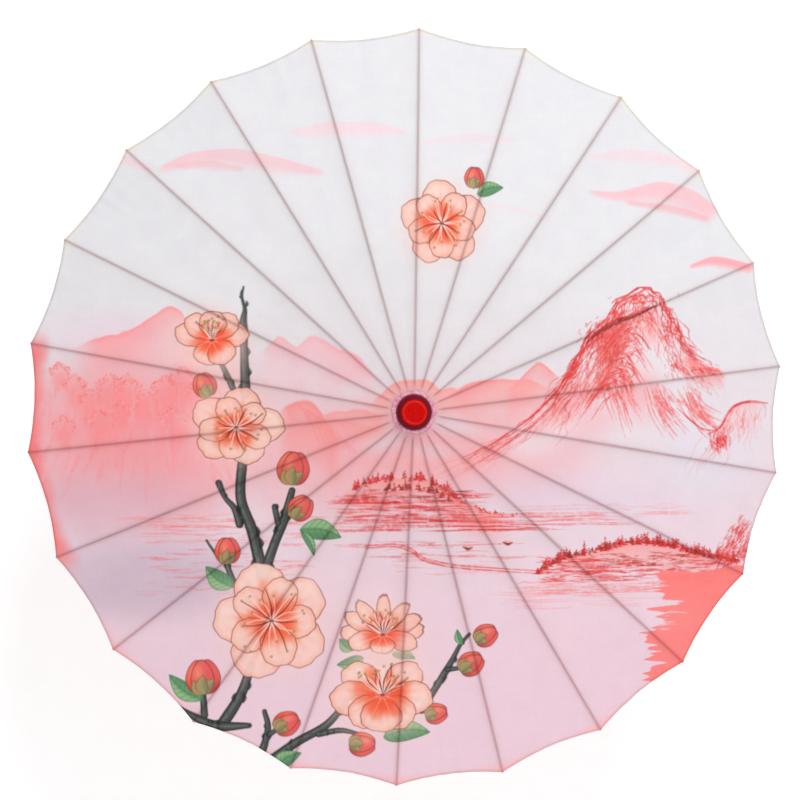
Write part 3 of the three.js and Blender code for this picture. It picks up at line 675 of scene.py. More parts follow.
def mountains(sheet):
    rng = sheet.rng
    left = [
        (80, -42), (104, -26), (128, -10), (160, 20), (184, 58),
        (200, 86), (218, 102), (236, 126), (258, 138),
    ]
    right = [(258, 138), (274, 132), (284, 122), (294, 104), (304, 88), (311, 74)]
    ridge = left + right[1:]
    slope_shade(sheet, ridge)
    repeat(crag, sheet, (
        (left[:5], 110, 36, 1.6, 0.75, 1.4),
        (left[3:], 260, 90, 1.0, 0.85, 0.95),
        ([(236, 122), *right, (318, 58)], 170, 84, 1.6, 0.75, 0.25),
    ))
    for shift, width in ((0.0, 1.8), (-2.5, 1.4), (-5.5, 1.2), (-8.5, 1.2), (-12, 1.0)):
        jag = curve_through(ridge[3:], steps=3)
        jag = [(x + rng.normal(0, 1.6), y + shift + rng.normal(0, 1.4)) for x, y in jag]
        for k in range(0, len(jag) - 4, 3):
            stroke(sheet, jag[k : k + 5], (0.6, width, 1.4 * width, 0.6), BRUSH_RED, 0.75, dry=0.5, soft=0.5)
    low_ridge = ridge[:5]
    stroke(sheet, low_ridge, (1.0, 1.8, 2.2, 1.6), BRUSH_RED, 0.85, dry=0.4)
    stroke(sheet, [(x + 4, y - 8) for x, y in low_ridge], (0.8, 1.4, 1.6, 1.0), BRUSH_RED, 0.6, dry=0.5)
    seam = [(196, 76), (214, 90), (232, 100), (252, 106), (274, 116)]
    stroke(sheet, seam, (1.5, 4, 6, 4, 1.5), BRUSH_DARK, 0.85, dry=0.45)
    repeat(hatching, sheet, (
        (226, 60, 22, 26, -1.9, 130, (0.72, 0.24, 0.18), 0.7),
        (212, 84, 22, 18, -2.2, 90, BRUSH_RED, 0.7),
        (250, 122, 24, 10, 0.3, 70, BRUSH_RED, 0.75),
        (290, 90, 10, 26, -1.2, 70, BRUSH_RED, 0.7),
        (296, 50, 10, 12, -1.2, 30, BRUSH_RED, 0.6),
    ))
    flank_lines(sheet)
    right_shoulder(sheet)


def shrubs(sheet, line, height, count, colour, strength):
    """Tufts of short dabs standing along a shore line."""
    rng = sheet.rng
    shore = curve_through(line, steps=12)
    for _ in range(count):
        x = rng.uniform(shore[0, 0], shore[-1, 0])
        y = float(np.interp(x, shore[:, 0], shore[:, 1])) + rng.uniform(-3.0, 1.5)
        clump = 0.55 + 0.45 * math.sin(x * 0.17 + 1.2 * math.sin(x * 0.05)) ** 2
        tall = height * rng.uniform(0.35, 1.0) * clump
        tone = mixed(colour, BRUSH_DARK, 0.7 * rng.random() ** 2)
        dabs = 2 + tall / 2.2
        for k in range(int(dabs)):
            part = k / dabs
            wide = (1 - part) * 0.24 * height * rng.uniform(0.4, 1.0)
            py = y + part * tall + rng.normal(0, 0.4)
            px = x + rng.normal(0, 0.35)
            ends = [(px - wide, py - 0.4 * wide), (px, py), (px + wide, py - 0.4 * wide)]
            stroke(sheet, ends, (0.6, 1.5, 0.6), tone, strength, dry=0.3, soft=0.45)


def streaks(sheet, x0, x1, y0, y1, count, colour, strength, longest=60, thick=2.0):
    """Level ripples of a dry brush."""
    rng = sheet.rng
    for _ in range(count):
        x, y = rng.uniform(x0, x1), rng.uniform(y0, y1)
        half = 0.5 * rng.uniform(0.2, 1.0) * longest
        points = [(x - half, y + rng.normal(0, 0.8)), (x, y + rng.normal(0, 0.9)), (x + half, y)]
        widths = (0.4, rng.uniform(0.7, thick), 0.4)
        stroke(sheet, points, widths, colour, strength * rng.uniform(0.5, 1), dry=0.55, soft=0.5)


def reflection(sheet):
    """A flat salmon block at the right shore with a torn left edge."""
    where, xs, ys = sheet.window(210, -330, PRINT_HALF, -160)
    rows = ys[:, 0]
    rng = sheet.rng
    tears = np.zeros(len(rows), np.float32)
    for _ in range(46):
        at, tall, deep = rng.uniform(rows[0], rows[-1]), rng.uniform(0.8, 2.6), rng.uniform(-24, 20)
        tears += deep * np.exp(-(((rows - at) / tall) ** 2))
    heights = [-330, -300, -282, -262, -240, -214, -196, -182]
    left = np.interp(rows, heights, [290, 272, 276, 266, 288, 284, 300, 268])
    edge = (left + tears)[:, None] + 3 * (sheet.mottle[where] - 0.5)
    top = np.interp(xs[0], [230, 260, 320, 400], [-176, -178, -184, -172])[None, :]
    top = top + 5 * (sheet.mottle[where] - 0.5)
    cover = smooth(-1, 1, xs - edge) * smooth(-1, 1, top - ys)
    cover = cover * (0.90 + 0.2 * (sheet.drift[where] - 0.5))
    sheet.lay(where, (1.0, 0.500, 0.480), cover)
    streaks(sheet, 262, 300, -250, -226, 16, (0.930, 0.860, 0.900), 0.8, longest=34)


def near_island(sheet):
    """A wooded island below the hub, with ripples before it and a bank beyond."""
    shore = [
        (-92, -104), (-66, -84), (-40, -76), (-14, -74), (14, -76),
        (32, -84), (54, -98), (84, -112), (120, -116),
    ]
    wash(sheet, shore, 44, (0.985, 0.620, 0.610), 0.8, soft=1.5, ragged=4)
    repeat(streaks, sheet, (
        (-76, 70, -124, -90, 120, BRUSH_RED, 0.75, 60, 2.4),
        (-56, 60, -118, -84, 44, BRUSH_DARK, 0.55, 30),
        (-70, 150, -134, -120, 50, BRUSH_RED, 0.7, 90),
    ))
    repeat(shrubs, sheet, (
        (shore[1:7], 12, 70, BRUSH_RED, 0.85),
        ([(-36, -86), (-10, -84), (20, -88), (44, -100)], 11, 40, (0.70, 0.22, 0.18), 0.85),
        (shore[5:], 5, 40, BRUSH_RED, 0.7),
    ))
    repeat(streaks, sheet, (
        (60, 230, -128, -114, 50, (0.955, 0.400, 0.400), 0.6, 90, 1.6),
        (120, 300, -120, -104, 26, (0.960, 0.520, 0.520), 0.5, 80, 1.4),
        (-60, 120, -164, -144, 26, BRUSH_RED, 0.65, 60, 1.5),
        (-20, 150, -182, -160, 30, (0.975, 0.520, 0.520), 0.55, 50, 1.6),
    ))
    bank = [(-52, -150), (-20, -148), (0, -154), (14, -164), (50, -172), (96, -176), (150, -180)]
    for shift in (0, -3):
        lower = [(x, y + shift) for x, y in bank]
        stroke(sheet, lower, (0.6, 1.6, 2.0, 1.6, 1.2, 0.6), BRUSH_RED, 0.75, dry=0.55)


def far_shore(sheet):
    """A wooded spit from the right, with reeds at its end."""
    shore = [
        (140, -182), (156, -172), (172, -164), (204, -158), (236, -150),
        (262, -148), (290, -152), (322, -160), (372, -172),
    ]
    wash(sheet, shore, 36, (0.990, 0.600, 0.580), 0.85, soft=1.5, ragged=4)
    repeat(streaks, sheet, (
        (150, 340, -192, -164, 190, BRUSH_RED, 0.7, 36, 2.4),
        (200, 330, -176, -160, 60, (0.66, 0.20, 0.14), 0.65, 20, 2.6),
    ))
    repeat(shrubs, sheet, ((shore, 15, 150, BRUSH_RED, 0.9), (shore, 9, 70, (0.66, 0.18, 0.14), 0.85)))
    repeat(streaks, sheet, (
        (120, 300, -206, -190, 60, (0.970, 0.480, 0.470), 0.65),
        (110, 260, -222, -204, 34, (0.980, 0.640, 0.660), 0.6, 70),
    ))
    for x, y in ((374, -128), (382, -146), (366, -150), (356, -158)):
        stroke(sheet, [(x - 14, y - 34), (x - 6, y - 16), (x, y)], (1.2, 0.9, 0.6), BRUSH_RED, 0.7, dry=0.3)
        hatching(sheet, x - 2, y - 12, 12, 18, 0.9, 60, BRUSH_RED, 0.75)
    streaks(sheet, 330, 380, -200, -160, 60, BRUSH_RED, 0.7, longest=26)


def lake(sheet):
    near_island(sheet)
    far_shore(sheet)
    for x, y in ((63, -153), (108, -148)):
        stroke(sheet, [(x - 6, y + 1.5), (x, y - 1), (x + 5, y + 1)], (0.8, 3.4, 0.8), BRUSH_DARK, 0.85)
        stroke(sheet, [(x - 4, y + 2.5), (x + 3, y + 2)], (1.0, 0.8), (0.97, 0.55, 0.45), 0.9)
    repeat(streaks, sheet, (
        (-300, -190, -146, -120, 34, (0.975, 0.520, 0.520), 0.65),
        (-250, -110, -150, -112, 40, (0.965, 0.450, 0.450), 0.6, 50),
        (-290, -120, -206, -150, 44, (0.955, 0.420, 0.420), 0.7, 44),
    ))


def flowering_branches(sheet):
    top_twig = [(-184, 20), (-185, 60), (-186, 96), (-184, 112), (-187, 126), (-185, 137)]
    repeat(branch, sheet, (
        (top_twig, (11, 10, 8, 10, 4, 1.5)),
        ([(-198, 26), (-206, 44), (-212, 56)], (7, 6, 5)),
        ([(-187, -52), (-189, -96), (-176, -134), (-164, -184)], (10, 11, 12, 14)),
        ([(-213, -80), (-206, -96), (-196, -108), (-190, -126)], (7, 5, 7, 8)),
        ([(-133, -88), (-142, -122), (-152, -148), (-164, -184)], (7, 10, 10, 13)),
        ([(-152, -106), (-148, -124)], (6, 7)),
        ([(-206, -150), (-203, -172), (-196, -190)], (3, 6, 6)),
        ([(-226, -144), (-214, -162)], (2, 3)),
        ([(-176, -284), (-186, -316), (-206, -350)], (9, 11, 13)),
        ([(-262, -326), (-240, -340), (-212, -352), (-178, -352)], (3, 8, 12, 6)),
        ([(-228, -312), (-226, -340)], (6, 8)),
        ([(-160, -336), (-156, -356), (-164, -386), (-176, -400)], (5, 7, 9, 10)),
        ([(-160, -398), (-126, -372), (-92, -352), (-70, -326)], (12, 10, 9, 6)),
        ([(-100, -362), (-76, -358), (-56, -362)], (7, 6, 4)),
        ([(-154, -362), (-140, -352)], (6, 4)),
        ([(14, -336), (32, -306), (46, -282), (56, -262), (66, -250)], (8, 7.5, 8, 5, 3)),
        ([(42, -290), (60, -288)], (6, 4)),
    ))
    repeat(leaf, sheet, (
        (74, 240, 30, 0.25, 0.5), (70, 246, 16, 1.4, 0.4), (-124, -132, 46, -0.18, 0.5),
        (-122, -134, 30, -1.1, 0.3), (-196, -196, 38, 2.5, 0.55), (-228, -322, 46, 2.5, 0.42),
        (-150, -402, 36, 0.55, 0.5), (58, -262, 18, 1.9, 0.45), (-28, -366, 52, 0.10, 0.46),
        (-52, -276, 30, 3.4, 0.5), (-20, -272, 26, -0.2, 0.45), (-64, -268, 20, 2.4, 0.6),
    ))
    repeat(bud, sheet, (
        (71, 258, 11, 1.5), (-228, 28, 13, 1.9), (-132, -64, 18, 1.45), (-124, -108, 14, 0.9),
        (-203, -156, 14, 1.6), (-228, -298, 19, 1.65), (-136, -350, 14, 0.5), (-52, -374, 14, 0.0),
        (84, -252, 13, 0.5), (68, -284, 14, 0.55), (30, -340, 12, 0.2),
    ))
    upward = (0.5, 2.64)
    deep, deeper = (0.990, 0.620, 0.520), (0.985, 0.600, 0.570)
    blossom(sheet, 34, 208, 48, turn=0.35)
    blossom(sheet, -220, 78, 44, petals=HALF_OPEN, squeeze=(1.0, 0.92), tint=deep, fan=(1.0, 2.2))
    blossom(sheet, -194, -18, 48, turn=0.1, squeeze=(1.05, 0.94))
    blossom(sheet, -31, -250, 48, petals=FROM_SIDE, squeeze=(1.0, 0.95), tint=deeper, fan=upward)
    blossom(sheet, -154, -234, 65, turn=0.6, breadth=0.42)
    blossom(sheet, -30, -318, 59, petals=TILTED, squeeze=(1.0, 0.92), fan=upward)


def printed_cloth():
    sheet = Sheet(PRINT_HALF, PRINT_STEP, seed=22)
    backdrop(sheet)
    clouds_and_far_hills(sheet)
    hub_mist(sheet)
    misty_grove(sheet)
    mountains(sheet)
    lake(sheet)
    reflection(sheet)
    flowering_branches(sheet)
    return sheet


# ---------------------------------------------------------------- mesh helpers
def new_object(name, vertices, faces, smooth_shading=True):
    mesh = bpy.data.meshes.new(name)
    mesh.from_pydata([tuple(v) for v in vertices], [], [tuple(f) for f in faces])
    mesh.update()
    obj = bpy.data.objects.new(name, mesh)
    bpy.context.scene.collection.objects.link(obj)
    if smooth_shading:
        mesh.shade_smooth()
    return obj


def mesh_object(name, points, corners, starts):
    """A smooth mesh from arrays: its points, its faces' corners in a row, and where each face starts."""
    mesh = bpy.data.meshes.new(name)
    mesh.vertices.add(len(points))
    mesh.vertices.foreach_set("co", points.astype(np.float32).ravel())
    mesh.loops.add(len(corners))
    mesh.loops.foreach_set("vertex_index", corners)
    mesh.polygons.add(len(starts))
    mesh.polygons.foreach_set("loop_start", starts)
    mesh.update(calc_edges=True)
    mesh.shade_smooth()
    obj = bpy.data.objects.new(name, mesh)
    bpy.context.scene.collection.objects.link(obj)
    return obj


def turned(name, profile, segments):
    """A lathe form about Z from (radius, height) points; points on the axis close it."""
    vertices, faces, rings = [], [], []
    for radius, height in profile:
        if radius < 1e-9:
            rings.append([len(vertices)])
            vertices.append((0, 0, height))
            continue
        rings.append(list(range(len(vertices), len(vertices) + segments)))
        for k in range(segments):
            angle = 2 * math.pi * k / segments
            vertices.append((radius * math.cos(angle), radius * math.sin(angle), height))
    for low, high in zip(rings[:-1], rings[1:]):
        for k in range(segments):
            n = (k + 1) % segments
            if len(low) == 1:
                faces.append((low[0], high[n], high[k]))
            elif len(high) == 1:
                faces.append((low[k], low[n], high[0]))
            else:
                faces.append((low[k], low[n], high[n], high[k]))
    return new_object(name, vertices, faces)


def tube(name, rings_of_points):
    """A skin over a list of equal rings of points, closed at both ends."""
    vertices = [tuple(p) for ring in rings_of_points for p in ring]
    n = len(rings_of_points[0])
    faces = []
    for i in range(len(rings_of_points) - 1):
        for k in range(n):
            a, b = i * n + k, i * n + (k + 1) % n
            faces.append((a, b, b + n, a + n))
    faces.append(tuple(range(n - 1, -1, -1)))
    faces.append(tuple(range(len(vertices) - n, len(vertices))))
    return new_object(name, vertices, faces)


# ---------------------------------------------------------------- the canopy
def rib_over(along):
    """Height of a rib's flat top above the line through its pins, as the ribs are made."""
    places = [RIB_NECK, RIB_SHOULDER, LINK, RIB_LENGTH]
    return np.interp(along, places, [NECK_OVER, RIB_OVER, RIB_OVER, TIP_OVER])


def rib_droop(along):
    return RIB_DROOP * (np.maximum(0, along - LINK) / (RIB_LENGTH - LINK)) ** 2


def hem_radius(off):
    """Where the cloth ends, by angle from the nearest rib: level at the rib tips and curved in between."""
    off = np.abs(off)
    bulge = 4 * off * (STEP - off) / STEP**2
    flat = math.cos(STEP / 2) / np.cos(STEP / 2 - off)
    return (SPAN_RADIUS + PAST_TIPS) * flat * (1 - EDGE_SCALLOP * bulge)


def cloth_height(radius, off, angle):
    """The cloth's height: tight over the ribs, sagging between them, with small puckers."""
    off = np.abs(off)
    rib_radius = radius * np.cos(STEP / 2 - off) / math.cos(STEP / 2)
    along = (rib_radius - PIVOT_RADIUS) / math.cos(SLOPE)
    normal = rib_over(along) - rib_droop(along) + CLOTH_LIFT
    height = HUB_Z - (rib_radius - PIVOT_RADIUS) * math.tan(SLOPE) + normal / math.cos(SLOPE)
    across = 2 * off / STEP
    out = radius / SPAN_RADIUS
    sag = SAG * out**1.2 * (1 - (1 - across) ** 2)
    ridge = RIDGE_HEIGHT * np.exp(-((off * radius / RIDGE_WIDTH) ** 2)) * smooth(0.024, 0.045, radius)
    near_hem = smooth(0.80, 1.0, out)
    pucker = np.sin(angle * 131 + 2.0 * np.sin(angle * 17)) * (0.4 + 0.6 * np.sin(angle * 5.3 + 1) ** 2)
    wave = np.sin(angle * 37 + 9 * radius + 1.3 * np.sin(angle * 7))
    free = np.sin(math.pi * across / 2) ** 2
    near_hub = 1 - smooth(0.023, 0.05, radius)
    gather = (1.0 + 0.3 * np.sin(angle * RIB_COUNT * 2 + 1.5 * np.sin(angle * 7))) * near_hub
    height = height - sag + ridge + free * near_hem * (PUCKER_HEIGHT * pucker)
    return height + free * out * WAVE_HEIGHT * wave + GATHER_HEIGHT * gather


def sector_grid():
    """The points of one gore pair as shares outward and across, and the faces between them."""
    rows = int(round((SPAN_RADIUS - INNER_RADIUS) / VERTEX_GAP))
    widest = 2 * int(round(SPAN_RADIUS * STEP / VERTEX_GAP / 8)) * 4
    out, across, faces, starts, counts = [], [], [], [], []
    for j in range(rows + 1):
        share = j / rows
        columns = widest if share > 0.5 else widest // 2 if share > 0.25 else widest // 4
        starts.append(len(out))
        counts.append(columns)
        out.extend([share] * (columns + 1))
        across.extend(np.linspace(-1, 1, columns + 1))
    for j in range(rows):
        a, b, n, m = starts[j], starts[j + 1], counts[j], counts[j + 1]
        if n == m:
            faces.extend((a + k, b + k, b + k + 1, a + k + 1) for k in range(n))
            continue
        for k in range(n):
            faces.append((a + k, b + 2 * k, b + 2 * k + 1))
            faces.append((a + k, b + 2 * k + 1, a + k + 1))
            faces.append((a + k + 1, b + 2 * k + 1, b + 2 * k + 2))
    last, n = starts[-1], counts[-1]
    return np.array(out), np.array(across), faces, last, n


def print_point(x, y, z):
    """Where a point of the canopy lies in the print's layout."""
    scale = 1000 * (PRINT_EYE - RIM_Z) / (PRINT_EYE - z)
    c, s = math.cos(PRINT_TURN), math.sin(PRINT_TURN)
    return (x * c + y * s) * scale, (-x * s + y * c) * scale


def linear(colour):
    colour = np.clip(colour, 0, 1)
    return np.where(colour <= 0.04045, colour / 12.92, ((colour + 0.055) / 1.055) ** 2.4)


def add_hem(faces, first_row, first_new, columns):
    """The faces of a canopy part with its hem: the rows that turn under its last row are joined to it."""
    row_starts = [first_row] + [first_new + i * (columns + 1) for i in range(len(HEM_ROWS))]
    hem = []
    for a, b in zip(row_starts[:-1], row_starts[1:]):
        hem.extend((a + k, b + k, b + k + 1, a + k + 1) for k in range(columns))
    return faces + hem


def part_points(phi, out, off, last):
    """The points of the canopy part over the rib at angle phi, hem included, and their angles from it."""
    angle = phi + off
    radius = INNER_RADIUS + (hem_radius(off) - INNER_RADIUS) * out
    height = cloth_height(radius, off, np.mod(angle, 2 * math.pi))
    parts = [np.column_stack([radius * np.cos(angle), radius * np.sin(angle), height])]
    edge_off, edge_angle, edge_radius = off[last:], angle[last:], radius[last:]
    for inward in HEM_ROWS:
        r = edge_radius - inward * HEM_WIDTH
        z = cloth_height(r, edge_off, np.mod(edge_angle, 2 * math.pi)) - HEM_DROP
        parts.append(np.column_stack([r * np.cos(edge_angle), r * np.sin(edge_angle), z]))
    return np.vstack(parts), np.concatenate([off] + [edge_off] * len(HEM_ROWS))


def part_colours(sheet, points, off):
    """The print at a canopy part's points, darker along the hem's seam and along the rib under it, for the
    rib's glue line and painted shade where the rib blocks light through the cloth.
    """
    px, py = print_point(points[:, 0], points[:, 1], points[:, 2])
    colour = sheet.sample(px, py)
    r = np.hypot(points[:, 0], points[:, 1])
    from_edge = hem_radius(off) - r
    thread = np.exp(-(((from_edge - HEM_WIDTH) / THREAD_WIDTH) ** 2)) * HEM_STAIN_SHARE
    # glue line along the rib, and painted shade of the rib seen through the cloth
    rib_glue_and_shade = np.exp(-((np.abs(off) * r / RIB_GLUE_AND_SHADE_WIDTH) ** 4)) * smooth(0.024, 0.03, r)
    colour = mixed(colour, colour * RIB_GLUE_AND_SHADE, rib_glue_and_shade * RIB_GLUE_AND_SHADE_SHARE)
    colour = mixed(colour, colour * HEM_STAIN, thread)
    rgba = np.ones((len(points), 4), np.float32)
    rgba[:, :3] = linear(colour)
    return rgba


def build_canopy(material):
    """Twenty-two rib-centred parts of one surface, each riding on its rib and moving with it."""
    sheet = printed_cloth()
    out, across, faces, last, columns = sector_grid()
    all_faces = add_hem(faces, last, len(out), columns)
    corners = np.array([corner for face in all_faces for corner in face], np.int32)
    starts = np.concatenate([[0], np.cumsum([len(face) for face in all_faces])[:-1]]).astype(np.int32)
    sectors = []
    for i in range(RIB_COUNT):
        phi = math.pi / 2 - i * STEP
        points, off = part_points(phi, out, across * STEP / 2, last)
        obj = mesh_object(f"cloth_{i + 1:02d}", points, corners, starts)
        attribute = obj.data.color_attributes.new("Print", "FLOAT_COLOR", "POINT")
        attribute.data.foreach_set("color", part_colours(sheet, points, off).ravel())
        obj.data.materials.append(material)
        body = f"rib_{i + 1:02d}"
        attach(obj, body)
        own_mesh(obj)
        sectors.append(obj)
    for obj in sectors:
        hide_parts("canopy")


# ---------------------------------------------------------------- small pieces
CAP_RADIUS = 0.0180
# The cap's outline from its foot to the middle of its top, as (radius, height).
CAP_PROFILE = (
    (0.0, 0.5238), (0.0166, 0.5238), (0.0176, 0.5241), (CAP_RADIUS, 0.5251), (0.0178, 0.5266),
    (0.0171, 0.5291), (0.0156, 0.5320), (0.0136, 0.5345), (0.0120, 0.5359), (0.0110, 0.5366),
    (0.0104, 0.5367), (0.0100, 0.5362), (0.0096, 0.5358), (0.0076, 0.5356), (0.0040, 0.5356),
    (0.0014, 0.5357), (0.0008, 0.5361), (0.0, 0.5362),
)


def build_cap(material):
    line = curve_through(CAP_PROFILE, steps=4)
    line[:, 0] = np.maximum(line[:, 0], 0)
    obj = turned("lacquered_cap", [tuple(p) for p in line], 128)
    obj.data.materials.append(material)
    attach(obj, "mast")
    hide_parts("cap")


def build_gathering(material):
    """The cloth's inner edge, drawn up in small pleats round the cap."""
    rng = np.random.default_rng(5)
    around, across, pleat_count = 528, 12, 58
    pleats = np.cumsum(rng.uniform(0.6, 1.4, pleat_count))
    pleats = pleats / pleats[-1] * 2 * math.pi
    heights = rng.uniform(0.35, 1.0, pleat_count)
    theta = np.arange(around) * 2 * math.pi / around
    starts = np.concatenate([[0], pleats])
    which = np.clip(np.searchsorted(starts, theta, side="right") - 1, 0, pleat_count - 1)
    inside = (theta - starts[which]) / (starts[which + 1] - starts[which])
    fold = np.sin(math.pi * inside) ** 0.8 * heights[which]
    swell = 0.95 + 0.10 * np.sin(2 * theta + 2.2) + 0.10 * np.sin(5 * theta + 0.6) + 0.16 * (fold - 0.5)
    t = np.linspace(0, 1, across + 1)[:, None]
    radius = RING_INNER + RING_WIDTH * t * swell
    arch = np.sin(math.pi * np.minimum(t * 0.93 + 0.07, 1)) ** 0.8
    height = RING_FOOT + RING_ARCH * arch - RING_DRAPE * t**2
    height = height + PLEAT_HEIGHT * (fold - 0.35) * np.sin(math.pi * np.clip(t, 0, 1)) ** 0.7
    turn = theta + 0.010 * np.sin(math.pi * t) * np.sin(9 * theta + 2)
    places = [radius * np.cos(turn), radius * np.sin(turn), height + 0 * turn]
    points = np.stack(places, axis=-1).reshape(-1, 3)
    faces = []
    for j in range(across):
        for k in range(around):
            n = (k + 1) % around
            a, b = j * around, (j + 1) * around
            faces.append((a + k, b + k, b + n, a + n))
    obj = new_object("gathered_edge", points, faces)
    obj.data.materials.append(material)
    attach(obj, "mast")
    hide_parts("gather_ring")


def rib_point(along, over, phi):
    """A point of a rib: along it from its pivot, and over its centre line."""
    droop = float(rib_droop(np.array(along)))
    radius = PIVOT_RADIUS + along * math.cos(SLOPE) + (over - droop) * math.sin(SLOPE)
    height = HUB_Z - along * math.sin(SLOPE) + (over - droop) * math.cos(SLOPE)
    return Vector((radius * math.cos(phi), radius * math.sin(phi), height))


def ring_round(centre, forward, up, radius, sides):
    """A ring of points about a line."""
    side = forward.cross(up).normalized()
    turns = [2 * math.pi * k / sides for k in range(sides)]
    return [centre + side * radius * math.cos(turn) + up * radius * math.sin(turn) for turn in turns]


# A rib's end, as (place along it, radius, 0 for thread or 1 for wood).
TIP_PROFILE = (
    (-0.0052, 0.00125, 0), (-0.0050, 0.00165, 0), (-0.0042, 0.00150, 0), (-0.0038, 0.00170, 0),
    (-0.0030, 0.00152, 0), (-0.0026, 0.00170, 0), (-0.0018, 0.00150, 0), (-0.0014, 0.00160, 0),
    (-0.0008, 0.00120, 0), (0.0, 0.00120, 1), (0.0006, 0.00160, 1), (0.0014, 0.00170, 1),
    (0.0021, 0.00150, 1), (0.0026, 0.00095, 1), (0.0028, 0.00030, 1),
)


def build_rib_tips(wood, thread):
    """A wrapping of thread and a rounded knob at the end of each rib."""
    sides = 14
    for i in range(RIB_COUNT):
        phi = math.pi / 2 - i * STEP
        end = rib_point(RIB_LENGTH - 0.0016, 0.0004, phi)
        before = rib_point(RIB_LENGTH - 0.010, 0.0004, phi)
        forward = (end - before).normalized()
        side = Vector((-math.sin(phi), math.cos(phi), 0))
        up = side.cross(forward).normalized()
        if up.z < 0:
            up = -up
        rings = [ring_round(end + forward * at, forward, up, size, sides) for at, size, _ in TIP_PROFILE]
        obj = tube(f"rib_end_{i + 1:02d}", rings)
        obj.data.materials.append(thread)
        obj.data.materials.append(wood)
        for k, face in enumerate(obj.data.polygons):
            row = k // sides
            face.material_index = TIP_PROFILE[row][2] if row < len(TIP_PROFILE) - 1 else 1
        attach(obj, f"rib_{i + 1:02d}")


# Half of a rib pin from its middle out, as (place along it, radius).
PIN_HALF = ((0.00185, 0.00066), (0.00190, 0.00115), (0.00210, 0.00105), (0.00230, 0.0007), (0.00235, 0.0002))
PIN_PROFILE = [(-at, radius) for at, radius in reversed(PIN_HALF)] + list(PIN_HALF)


def build_rib_pins(material):
    """A headed pin through each rib and its stretcher."""
    upward = Vector((0, 0, 1))
    for i in range(RIB_COUNT):
        phi = math.pi / 2 - i * STEP
        centre = Vector((PIN_RADIUS * math.cos(phi), PIN_RADIUS * math.sin(phi), RIB_PIN[2]))
        axis = Vector((-math.sin(phi), math.cos(phi), 0))
        rings = [ring_round(centre + axis * at, axis, upward, size, 12) for at, size in PIN_PROFILE]
        obj = tube(f"rib_pin_{i + 1:02d}", rings)
        obj.data.materials.append(material)
        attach(obj, f"rib_{i + 1:02d}")


